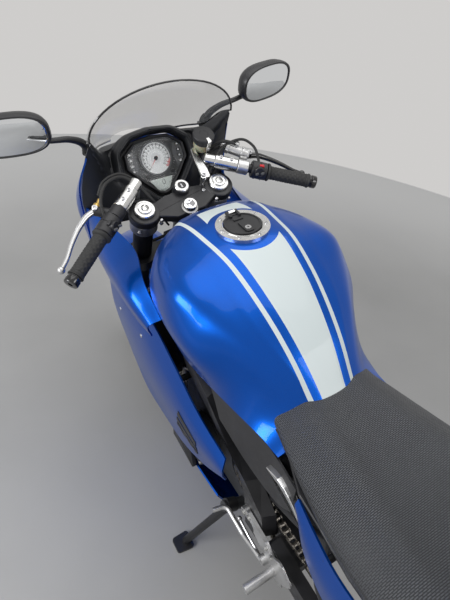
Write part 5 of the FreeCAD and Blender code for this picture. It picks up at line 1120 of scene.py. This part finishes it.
def make_controls():
    inner = GRIP_START - 62
    perch = ring(bar_point(inner - 16), bar_point(inner + 12), 11.2, 18, 1.5, 36)
    pivot_pin = bolt(bar_point(inner + 14, 44, 9), UP, 6.5, 4)
    lever = hand_lever(inner + 14, BAR_LENGTH - 30, 44)
    boss = rod(bar_point(inner), bar_point(inner + 14, 46, -2), 11.5, 1.5, 24)
    start = bar_point(inner + 8, 44, 0)
    adjuster = lathe([(0, 4), (0, 8.5), (2, 9.2), (9, 9.2), (11, 8), (11, 4.5), (24, 4.5), (25, 0)], start,
                     bar_point(inner - 30, 52, 2) - start, 14)
    box, screws, buttons, rocker = switch_housing(48)
    left = [("satin", box + [perch, boss]), ("silver", lever), ("brass", [adjuster]), ("steel", screws + [pivot_pin]),
            ("bezel", buttons), ("plastic", [rocker])]
    fork_piece("left_controls", mirrored_parts(left), "controls_black", stands_for=["bar_controls"], angle=34)
    start = bar_point(inner + 14, 44, 0)
    axis = bar_point(inner - 52, 52, 4) - start
    end = axis.length
    master = lathe([(0, 0), (0, 11), (1.5, 13), (14, 13), (15, 15.5), (21, 15.5), (22, 13), (end - 14, 13),
                    (end - 12, 15), (end - 4, 15), (end - 2, 10), (end - 2, 6.5), (end + 3, 6.5), (end + 3, 0)],
                   start, axis, 36)
    port = rod(bar_point(inner - 22, 50, 6), bar_point(inner - 22, 52, 26), 6.5, 1.0, 20)
    banjo = bolt(bar_point(inner - 54, 52, 4), axis, 8.2, 8)
    holder = moved(block((0, 0, 0), (24, 12, 26), 2, 4),
                   Matrix.Translation(bar_point(inner - 2, 22, 0)) @ turn(-36, "Z"))
    box, screws, buttons, rocker = switch_housing(40)
    right = [("satin", box), ("silver", [master, port, holder, perch]), ("gloss", lever),
             ("steel", screws + [pivot_pin, banjo]), ("switch_red", [rocker]), ("bezel", buttons)]
    fork_piece("right_controls", right, "controls_black", angle=34)


RESERVOIR_FOOT = Vector((108, 132, 686))
# The reservoir's cap. Columns: height, radius, whether it is ribbed.
CAP_PROFILE = [(23, 24.0, 0), (24, 26.0, 1), (38, 26.6, 1), (40.5, 25.2, 0), (41.5, 21.5, 0), (41.5, 11, 0),
               (40.6, 10, 0), (40.6, 0.2, 0)]


def make_reservoir():
    foot = RESERVOIR_FOOT
    cup = lathe([(-8, 0), (-8, 14), (-5, 18.5), (2, 21), (24, 22.6), (26, 22.6)], foot, UP, 44)
    collar = ring(foot + UP * 19, foot + UP * 24, 22.0, 24.2, 0.8, 44)
    cap = grid_faces([[foot + Vector((c, s, 0)) * (radius + (0.7 if rib and k % 3 else 0)) + UP * along
                       for k, (c, s) in enumerate(circle(60))] for along, radius, rib in CAP_PROFILE], True)
    clip = moved(plate([(-6, -28.5), (6, -28.5), (5, -15), (-5, -15)], 41, 43, "z", 2, 0.5), Matrix.Translation(foot))
    clip_side = moved(block((0, -28.2, 26), (11, 1.8, 32), 0.6, 1), Matrix.Translation(foot))
    arm = plate([(50, 36), (80, 36), (86, 62), (80, 114), (98, 142), (72, 134), (62, 98)],
                CLAMP_TOP + 30, CLAMP_TOP + 35, "z", 5, 1.2)
    post = rod((62, 46, CLAMP_TOP - 1), (62, 46, CLAMP_TOP + 34), 7, 1.2, 24)
    head = bolt((62, 46, CLAMP_TOP + 35), UP, 5.5, 5)
    saddle = rod(foot + Vector((-14, -8, 2)), foot + UP * 6, 8, 1.5, 20)
    hose = sweep([foot + UP, foot + Vector((2, -4, -16)), bar_point(34, 50, 22), bar_point(GRIP_START - 84, 50, 22)],
                 4.2, 8, 12)
    screw = bolt(foot + Vector((0, -28.6, 18)), (0, -1, 0), 3.4, 2.4)
    fork_piece("fluid_cup", [("fluid", [cup]), ("plastic", [cap, collar]),
                             ("machined", [arm, post, saddle, clip, clip_side]), ("steel", [head, screw]),
                             ("rubber", [hose])],
               "amber_cup", stands_for=["brake_reservoir"], angle=34)


# Mirrors

MIRROR_TURNS = 40
# The shell from its rim to its back. Columns: scale, y.
MIRROR_SHELL = [(0.86, -13), (0.90, -16.4), (0.96, -15), (0.982, -8), (0.97, 2), (0.93, 12), (0.80, 23), (0.60, 30),
                (0.34, 35), (0.12, 37)]
MIRROR_PANE = [(0.872, -14.4), (0.85, -15.0)]


def closed_cup(rows):
    """Rings from the open rim, closed at the last."""
    points, faces = grid_faces([mirror_ring(*row) for row in rows], True)
    return points, faces + [tuple(range(len(points) - MIRROR_TURNS, len(points)))]


def mirror_ring(scale, y):
    """A ring between an ellipse and a rectangle."""
    def pressed(share):
        return math.copysign(abs(share) ** 0.75, share)
    return [Vector((88 * scale * pressed(c), y, 47 * scale * pressed(s))) for c, s in circle(MIRROR_TURNS)]


def make_mirrors():
    shell, pane = closed_cup(MIRROR_SHELL), closed_cup(MIRROR_PANE)
    for name, place in (("right", MIRROR_R), ("left", MIRROR_L)):
        first = name == "right"
        piece("mirror_shell_" + name, [("satin", [shell])], place=place, slot="black_plastic",
              stands_for=["mirrors"] if first else (), angle=40)
        piece("mirror_pane_" + name, [("mirror", [pane])], place=place, slot="mirror_glass",
              stands_for=["mirror_glasses"] if first else ())
    stalk = sweep([(160, 612, 988), (172, 606, 1008), (196, 598, 1024), (246, 590, 1036), (284, 590, 1046),
                   (310, 594, 1060)], [10.5, 9.5, 7.6, 6.4, 7.2, 11], 8, 20)
    boot = sweep([(160, 614, 976), (160, 612, 990), (166, 609, 1002)], [15, 13.5, 11], 6, 24)
    foot = plate([(142, 592), (180, 588), (178, 634), (140, 640)], 974, 984, "z", 8, 2)
    piece("mirror_stalks", [("satin", [both(stalk), both(foot)]), ("rubber", [both(boot)])], slot="black_plastic",
          angle=40)


# Side fairing, rear to front. Columns: three points down the panel, each x, y, z.
SIDE_UPPER = [
    ((182, 196, 772), (210, 206, 758), (204, 214, 716)),
    ((184, 262, 822), (220, 262, 798), (210, 262, 716)),
    ((160, 376, 838), (220, 384, 802), (212, 392, 706)),
    ((172, 478, 842), (217, 480, 800), (208, 486, 690)),
    ((203, 602, 846), (205, 606, 790), (204, 614, 712)),
]
SIDE_LOWER = [
    ((177, -60, 584), (190, -68, 556), (178, -62, 496)),
    ((181, 52, 610), (196, 60, 574), (184, 50, 404)),
    ((183, 160, 668), (200, 168, 610), (188, 150, 352)),
    ((185, 262, 712), (203, 270, 640), (190, 262, 330)),
    ((203, 392, 704), (208, 420, 600), (194, 380, 336)),
    ((204, 500, 688), (206, 506, 600), (198, 452, 420)),
]
# Belly. Columns: y, side x and z, keel x and z.
BELLY = [
    (14, 164, 262, 76, 128),
    (80, 170, 270, 82, 122),
    (200, 177, 280, 84, 124),
    (330, 176, 300, 80, 152),
    (392, 164, 326, 66, 214),
]


def make_fairings():
    upper = thick(smooth_grid(SIDE_UPPER, 7, 6), 4, (0, 300, 600))
    lower = thick(smooth_grid(SIDE_LOWER, 7, 7), 4, (0, 300, 600))
    link = plate([(110, 372), (230, 352), (238, 276), (100, 270)], 171, 186, "x", 10, 3)
    seam = plate([(360, 722), (410, 722), (420, 690), (350, 690)], 202, 208, "x", 6, 1)
    pegs = [rod((100, 330, 738), (210, 330, 738), 7), rod((113, 190, 560), (192, 190, 560), 8)]
    screws = [bolt(at, (1, 0, 0.1), 5, 2.2)
              for at in ((199, 180, 600), (203, 300, 640), (206, 440, 620), (190, 60, 500))]
    shapes = [("paint", [upper, lower]), ("plastic", [link, seam] + pegs), ("zinc", screws)]
    for name, parts in (("right", shapes), ("left", mirrored_parts(shapes))):
        piece("side_shell_" + name, parts, slot="blue_paint", stands_for=["side_fairing_" + name], angle=45)
    rows = []
    for y, side_x, side_z, keel_x, keel_z in BELLY:
        half = [(0, y, keel_z - 3), (keel_x, y, keel_z), ((keel_x + side_x) / 2 + 8, y, keel_z * 0.62 + side_z * 0.38),
                (side_x, y, side_z)]
        rows.append([(-a, b, c) for a, b, c in reversed(half[1:])] + half)
    belly = thick(smooth_grid(rows, 7, 6, corners=(2, 4)), 4, (0, 150, 420))
    piece("belly_shell", [("paint", [belly])], slot="blue_paint", stands_for=["belly_fairing"], angle=45)


# Wheels, in the frame of each axle: x along it

# Tyre section. Columns: share of the half width, share of the height over the rim.
TYRE_SECTION = [(0.0, 1.0), (0.10, 0.998), (0.36, 0.95), (0.60, 0.84), (0.80, 0.66), (0.94, 0.50), (1.0, 0.36),
                (0.95, 0.22)]
RIM_R, BEAD_H, BEAD_W, TYRE_WALL, SEAT_GAP = 219.0, 12.5, 10.0, 9.0, 0.3
GROOVE_DEPTH, GROOVE_PITCH = 4.5, 24
# Radius, width and rim width of each tyre. Radius and width are 0.6 mm under the CAD's.
FRONT_TYRE, REAR_TYRE = (299.4, 119.4, 92), (314.4, 175.4, 140)


def tyre_shape(radius, width, rim_w, turns=288):
    """A tyre with slanted grooves sunk in its tread."""
    height, bead_x = radius - RIM_R, rim_w / 2 - SEAT_GAP
    half = smooth_line([(share * width / 2, RIM_R + up * height, 0) for share, up in TYRE_SECTION], 5)
    half = [(p.x, min(p.y, radius)) for p in half] + [
        (bead_x, RIM_R + BEAD_H), (bead_x, RIM_R + SEAT_GAP), (bead_x - BEAD_W, RIM_R + SEAT_GAP),
        (bead_x - BEAD_W, RIM_R + BEAD_H), (width / 2 - TYRE_WALL, RIM_R + 0.38 * height),
        (0.30 * width, radius - 0.16 * height - TYRE_WALL), (0.0, radius - TYRE_WALL)]
    section = half + [(-x, r) for x, r in reversed(half[1:-1])]
    rows = []
    for i, (c, s) in enumerate(circle(turns)):
        row = []
        for x, r in section:
            share = abs(x) / (width / 2)
            lane = (i + (GROOVE_PITCH // 2 if x > 0 else 0) - round(share * 17)) % GROOVE_PITCH
            long_cut = lane < 1 and 0.10 < share < 0.86
            short_cut = (lane + 7) % GROOVE_PITCH < 1 and 0.45 < share < 0.92
            sunk = GROOVE_DEPTH if (long_cut or short_cut) and r > radius - 0.5 * height else 0.0
            row.append(Vector((x, (r - sunk) * c, (r - sunk) * s)))
        rows.append(row)
    return grid_faces(rows + rows[:1], True)


def drilled(x, half, hole_r, arms, lag, radii):
    """A disc's holes in curved arms, as dark studs through it."""
    holes = []
    for arm in range(arms):
        for k, radius in enumerate(radii):
            y, z = polar(radius, (arm + lag * k) / arms)
            holes.append(rod((x - half, y, z), (x + half, y, z), hole_r, 0.1, 12))
    return holes


def make_wheels():
    for end, size, place in (("front", FRONT_TYRE, FRONT_WHEEL), ("rear", REAR_TYRE, REAR_WHEEL)):
        piece(end + "_tread", [("tyre", [tyre_shape(*size)])], place=place, body=end + "_wheel", slot="tyre_rubber",
              stands_for=[end + "_tyre"], angle=40)
    holes, studs = [], []
    for side in (-1, 1):
        holes += drilled(side * 62, 2.75, 3.4, 18, 0.22, (112, 123, 134, 145))
        studs += [bolt((side * 64.6, y, z), (side, 0, 0), 6, 4) for y, z in circle(5, 44, 0.5)]
    stem = rod((20, 0, 203), (20, 0, 180), 4, 0.8, 14)
    piece("front_disc_detail", [("gloss", holes + [stem]), ("steel", studs)], place=FRONT_WHEEL, body="front_wheel",
          slot="disc_steel")
    piece("rear_disc_detail", [("gloss", drilled(84, 2.8, 3.2, 16, 0.25, (74, 84, 94)))], place=REAR_WHEEL,
          body="rear_wheel", slot="disc_steel")


# Chain: its x, pitch, plate height and thickness, and the sprockets as y, z and pitch radius
CHAIN_X, LINK_PITCH, LINK_H, LINK_T = -107.0, 15.875, 14.0, 1.8
SPROCKETS = ((-38.0, 385.0, 40.0), (-697.5, 315.0, 109.0))


def chain_pins():
    """The chain's pins as (y, z): an even number, the same distance apart round both sprockets."""
    (y0, z0, r0), (y1, z1, r1) = SPROCKETS
    front, rear = Vector((y0, z0)), Vector((y1, z1))
    along = (rear - front).normalized()
    lean = (r0 - r1) / (rear - front).length
    across = Vector((along.y, -along.x)) * math.sqrt(1 - lean * lean)
    top, low = along * lean + across, along * lean - across
    start, end = math.atan2(top.y, top.x), math.atan2(low.y, low.x) + 2 * math.pi

    def straight(one, two):
        return [one.lerp(two, k / 100) for k in range(101)]

    def arc(middle, radius, first, last):
        angles = [first + (last - first) * k / 100 for k in range(1, 100)]
        return [middle + Vector((math.cos(a), math.sin(a))) * radius for a in angles]

    loop = straight(front + top * r0, rear + top * r1) + arc(rear, r1, start, end)
    loop += straight(rear + low * r1, front + low * r0) + arc(front, r0, end, start + 2 * math.pi)
    loop.append(loop[0])
    lengths = [0.0]
    for one, two in zip(loop, loop[1:]):
        lengths.append(lengths[-1] + (two - one).length)
    count = 2 * round(lengths[-1] / LINK_PITCH / 2)
    pins, at = [], 0
    for k in range(count):
        wanted = lengths[-1] * k / count
        while lengths[at + 1] < wanted:
            at += 1
        share = (wanted - lengths[at]) / max(lengths[at + 1] - lengths[at], 1e-6)
        pins.append(loop[at].lerp(loop[at + 1], share))
    return pins


def make_chain():
    pins = chain_pins()
    shapes, rollers = [], []
    for k, (pin, after) in enumerate(zip(pins, pins[1:] + pins[:1])):
        way = (after - pin).normalized()
        side, middle = Vector((-way.y, way.x)) * LINK_H / 2, (pin + after) / 2
        back, ahead, half, waist = pin - way * 5.5, after + way * 5.5, side * 0.5, side * 0.62
        outline = [back + half, pin + side, middle + waist, after + side, ahead + half,
                   ahead - half, after - side, middle - waist, pin - side, back - half]
        for s in (-1, 1):
            x = CHAIN_X + s * (7.6 if k % 2 else 5.6)
            shapes.append(plate(outline, x - LINK_T / 2, x + LINK_T / 2, "x", 0, 0.2))
        for reach, radius, turns in ((8.4, 2.6, 8), (4.6, 5.0, 10)):
            rollers.append(rod((CHAIN_X - reach, *pin), (CHAIN_X + reach, *pin), radius, 0.2, turns))
    piece("chain_links", [("chain", shapes + rollers)], slot="chain_steel", stands_for=["chain"])


def make_shock():
    low, high = Vector((0, -222, 404)), Vector((0, -96, 606))
    line = (high - low).normalized()
    body = rod(low, high, 14, 1)
    perches = [rod(low + line * 46, low + line * 54, 33, 1.5, 36), rod(high - line * 54, high - line * 44, 33, 1.5, 36)]
    u, v = axes_of(line)[1:]
    reach, coils, per_turn = (high - low).length - 108, 7, 20
    path = []
    for k in range(coils * per_turn + 1):
        a, b = polar(28, k / per_turn)
        path.append(low + line * (54 + reach * k / (coils * per_turn)) + u * a + v * b)
    coil = sweep(path, 4.6, 1, 10, corners=range(len(path)))
    eyes = [rod((-16, y, z), (16, y, z), 13, 1) for y, z in ((-222, 412), (-96, 606))]
    canister = lathe([(0, 0), (0, 15), (3, 18), (66, 18), (70, 15), (70, 0)], (44, -150, 520), UP, 32)
    link = rod((20, -146, 556), (44, -150, 556), 9)
    piece("shock_unit", [("satin", [body, link] + eyes), ("machined", [canister] + perches), ("bezel", [coil])],
          slot="spring_grey", stands_for=["rear_shock"], angle=40)


# Columns: side, x, y, z, radius of the circle of bolts, their number.
ENGINE_COVERS = [(-1, 168, 142, 352, 59, 9), (1, 172, 132, 356, 71, 10), (1, 172, 212, 330, 34, 5)]
# Columns: x, y, z, radius of the bolt.
FOOT_BOLTS = [(159.6, -110, 412, 7), (157.6, -128, 414, 4.5), (157.6, -196, 400, 4.5), (161.8, -222, 418, 4.5)]
FINS = 26


def make_engine_detail():
    """Bolts round the engine's covers, caps on them, fins on the radiator and bolts on the foot plates."""
    bolts, caps, fins = [], [], []
    for side, x, y, z, radius, count in ENGINE_COVERS:
        bolts += [bolt((side * (x - 0.5), y + b, z + c), (side, 0, 0), 5, 5) for b, c in circle(count, radius, 0.3)]
        profile = [(-0.5, 0.55), (1.2, 0.55), (2.4, 0.5), (2.4, 0.34), (1.4, 0.3), (1.4, 0)]
        caps.append(lathe([(along, share * radius) for along, share in profile], (side * x, y, z), (side, 0, 0), 40))
    for side in (-1, 1):
        for x, y, z, r in FOOT_BOLTS:
            bolts.append(bolt((side * x, y, z), (side, 0, 0), r, 4))
    rod_line = sweep([(-163, -96, 352), (-163, -150, 337), (-162, -196, 334)], 3.2, 4, 10)
    joints = [ball((-163, -96, 352), 6), ball((-162, -196, 334), 6)]
    for k in range(FINS):
        share = (k + 0.5) / FINS
        fins.append(plate(rectangle(383.7 + 62 * share, 372 + 264 * share, 2.5, 0.8), -162, 162, "x", 0, 0.1))
    piece("engine_detail", [("zinc", bolts), ("bezel", caps), ("steel", [rod_line] + joints), ("alloy", fins)],
          slot="engine_grey")


def on_grid(grid, y, z):
    """The fine grid's point nearest to a place seen from the side."""
    return min((p for row in grid for p in row), key=lambda p: (p.y - y) ** 2 + (p.z - z) ** 2)


def patch(grid, corners, lift, thickness, along, across):
    """A thin sheet laid on a panel over four corners given as y, z."""
    a, b, c, d = [Vector(q) for q in corners]
    rows = []
    for i in range(along + 1):
        low, high = a.lerp(b, i / along), d.lerp(c, i / along)
        spots = [low.lerp(high, j / across) for j in range(across + 1)]
        rows.append([Vector((on_grid(grid, *q).x + lift, *q)) for q in spots])
    return thick(rows, thickness, (0, 300, 500))


# Slots in the side panels. Columns: four corners as y, z.
VENTS = [
    ((110, 560), (34, 530), (36, 512), (114, 540)),
    ((120, 525), (40, 496), (42, 478), (124, 505)),
    ((130, 490), (48, 462), (52, 444), (134, 470)),
]


def make_vents():
    lower = smooth_grid(SIDE_LOWER, 14, 14)
    slots = [patch(lower, corners, 1.8, 3.0, 12, 4) for corners in VENTS]
    piece("panel_vents", [("plastic", [both(v) for v in slots])], slot="black_plastic")


# Cables, harness and hoses. Columns: side, radius, places by the bar as for bar_point, places in the fork's frame.
CABLES = [
    (-1, 3.2, [(66, 58, 0), (36, 62, 10), (-4, 44, 8)], [(66, 54, 646), (46, 34, 590)]),
    (-1, 3.8, [(112, 16, 2), (92, 36, 18), (50, 48, 26), (6, 34, 14)], [(66, 46, 648), (42, 42, 600)]),
    (-1, 2.6, [(120, 8, -18), (80, 12, -20), (36, 6, -24)], [(70, 20, 640), (48, 8, 600)]),
    (1, 4.4, [(34, 54, 2), (12, 44, -8)], [(86, 56, 648), (64, 46, 604)]),
    (1, 3.4, [(120, 10, -18), (76, 18, -20), (30, 10, -24)], [(76, 24, 636), (52, 14, 596)]),
    (1, 3.4, [(132, 20, 6), (112, 50, 26), (84, 60, 32), (44, 48, 18)], [(74, 50, 650), (46, 38, 602)]),
]


def make_cables():
    tubes = []
    for side, radius, by_bar, in_fork in CABLES:
        tube = sweep([bar_point(*at) for at in by_bar] + in_fork, radius, 8, 12)
        tubes.append(tube if side > 0 else flipped(tube))
    fork_piece("bar_cables", [("rubber", tubes)], "hose_black")


# Bands round the muffler. Columns: y, z, x, half width, half height.
MUFFLER_BANDS = [(-288, 279.8, 208.6, 41.6, 57.6), (-530, 346.7, 215.7, 39.5, 53.5)]


def make_rear_detail():
    number_plate = block((0, -1012.2, 712), (148, 1.0, 90), 0.3, 6, "y")
    bolts = [bolt((s * 55, -1012.5, 740), (0, -1, 0), 4, 0.8) for s in (-1, 1)]
    bands = []
    for y, z, x, half_w, half_h in MUFFLER_BANDS:
        turns = [(x + half_w * c, y, z + half_h * s) for c, s in circle(40)]
        bands.append(sweep(turns + turns[:1], 1.8, 1, 8, corners=range(41)))
    outlet = ring((216, -548, 352), (216.4, -562, 356.5), 15, 22, 1.5, 32)
    piece("rear_plate", [("white", [number_plate]), ("zinc", bolts)], slot="black_plastic")
    piece("muffler_bands", [("chrome", bands + [outlet])], slot="exhaust_steel")


# Camera, lights and stage, in metres

CAMERA_PLACE = (-0.470175, -0.473191, 1.377423)
CAMERA_X = (0.8529153577, -0.5050405191, 0.1321721101)
CAMERA_Y = (0.2202037728, 0.5775980646, 0.7860602866)
CAMERA_Z = (-0.4733346502, -0.6413380932, 0.6038540876)
CAMERA_LENS = 27.774
# Area lamps. Columns: name, place, aim, size, power, colour.
LAMPS = [
    ("ceiling", (0.2, 0.4, 3.4), (0.1, 0.0, 0.6), (3.2, 3.2), 46, (1, 1, 1)),
    ("window", (-3.0, 0.1, 1.8), (0.0, 0.2, 0.7), (2.0, 1.2), 70, (0.97, 0.98, 1.0)),
    ("behind", (1.4, -3.2, 2.6), (0.1, 0.0, 0.7), (2.0, 1.4), 35, (1, 1, 1)),
]
FLOOR_R, FLOOR_TURNS = 3.4, 180
FLOOR_DARK, FLOOR_LIGHT, FLOOR_FAR = (0.36, 0.355, 0.348, 1), (0.47, 0.465, 0.455, 1), (0.80, 0.79, 0.775, 1)
ROOM_LIGHT, ROOM_STRENGTH, BACKGROUND = (0.86, 0.88, 0.90, 1), 0.36, (0.62, 0.61, 0.60, 1)


def make_camera():
    data = bpy.data.cameras.new("camera")
    data.sensor_width, data.lens = 36.0, CAMERA_LENS
    data.clip_start, data.clip_end = 0.05, 60.0
    camera = placed("camera", data)
    turned = Matrix((CAMERA_X, CAMERA_Y, CAMERA_Z)).transposed().to_4x4()
    camera.matrix_world = Matrix.Translation(CAMERA_PLACE) @ turned
    bpy.context.scene.camera = camera


def area_lamp(name, place, aim, size, power, colour):
    data = bpy.data.lights.new(name, "AREA")
    data.shape, data.size, data.size_y, data.energy, data.color = "RECTANGLE", size[0], size[1], power, colour
    lamp = placed(name, data)
    lamp.location = place
    lamp.rotation_euler = (Vector(aim) - Vector(place)).to_track_quat("-Z", "Y").to_euler()


def make_floor():
    floor = bpy.data.materials.new("floor")
    floor.use_nodes = True
    tree = floor.node_tree
    shader = tree.nodes["Principled BSDF"]
    place = place_of(tree)
    grey = mix_colours(tree, noise(tree, place, 0.5, 6.0), FLOOR_DARK, FLOOR_LIGHT)
    reach = add(tree, "ShaderNodeVectorMath", {"operation": "LENGTH"}, i0=place).outputs["Value"]
    fade = add(tree, "ShaderNodeMapRange", {"interpolation_type": "SMOOTHSTEP"}, Value=reach, From_Min=1.5,
               From_Max=FLOOR_R)
    tree.links.new(mix_colours(tree, fade.outputs[0], grey, FLOOR_FAR), shader.inputs["Base Color"])
    shader.inputs["Roughness"].default_value = 0.75
    mesh = bpy.data.meshes.new("floor_sheet")
    mesh.from_pydata([(x, y, 0) for x, y in circle(FLOOR_TURNS, FLOOR_R)], [], [tuple(range(FLOOR_TURNS))])
    mesh.materials.append(floor)
    placed("floor_sheet", mesh)


def make_world():
    """The room's light, and a pale background where the camera, a mirror or glass looks past the bike."""
    world = bpy.data.worlds.new("world")
    bpy.context.scene.world = world
    world.use_nodes = True
    tree = world.node_tree
    light = tree.nodes["Background"]
    light.inputs["Color"].default_value = ROOM_LIGHT
    light.inputs["Strength"].default_value = ROOM_STRENGTH
    pale = add(tree, "ShaderNodeBackground", Color=BACKGROUND, Strength=1.0)
    ray = add(tree, "ShaderNodeLightPath").outputs
    straight = math_node(tree, "MAXIMUM", ray["Is Camera Ray"], ray["Is Transmission Ray"])
    seen = math_node(tree, "MAXIMUM", straight, ray["Is Glossy Ray"], clamp=True)
    both_lights = add(tree, "ShaderNodeMixShader", i0=seen, i1=light.outputs[0], i2=pale.outputs[0])
    tree.links.new(both_lights.outputs[0], tree.nodes["World Output"].inputs["Surface"])


def make_stage():
    make_floor()
    make_world()
    for row in LAMPS:
        area_lamp(*row)
    bpy.context.scene.view_settings.view_transform = "Standard"


# CAD nodes that stay, by finish
KEPT = {
    "satin": ("frame", "subframe", "swingarm", "rear_caliper", "radiator", "passenger_pegs", "fairing_stay",
              "lower_clamp", "front_calipers", "fuel_lid", "side_stand"),
    "steel": ("rear_axle", "front_axle", "rear_sprocket"), "engine": ("engine", "stand_bracket"),
    "plastic": ("hugger", "plate_holder"), "exhaust": ("exhaust_headers",), "can": ("muffler",),
    "silver": ("footrests",),
    "machined": ("filler_ring",), "red": ("tail_light",), "amber": ("indicators",), "chrome": ("fork_inner_tubes",),
    "rubber": ("brake_hoses",), "paint": ("front_fender",), "rim": ("front_rim", "rear_rim"),
    "disc": ("front_discs", "rear_disc"),
}


def dress_nodes():
    for finish, names in KEPT.items():
        for name in names:
            materials = frame["nodes"][name].data.materials
            materials.clear()
            materials.append(M[finish])
    bevel = frame["nodes"]["swingarm"].modifiers.new("soft_edges", "BEVEL")
    bevel.width, bevel.segments = 0.0025, 2
    bevel.limit_method, bevel.angle_limit = "ANGLE", math.radians(40)


make_camera()
make_stage()
dress_nodes()
make_tank()
make_seats()
make_tail()
make_nose()
headlamps()
make_cockpit()
make_dash()
make_clamps()
make_bars()
make_grips()
make_controls()
make_reservoir()
make_mirrors()
make_fairings()
make_wheels()
make_chain()
make_shock()
make_engine_detail()
make_vents()
make_cables()
make_rear_detail()

bpy.context.view_layer.update()
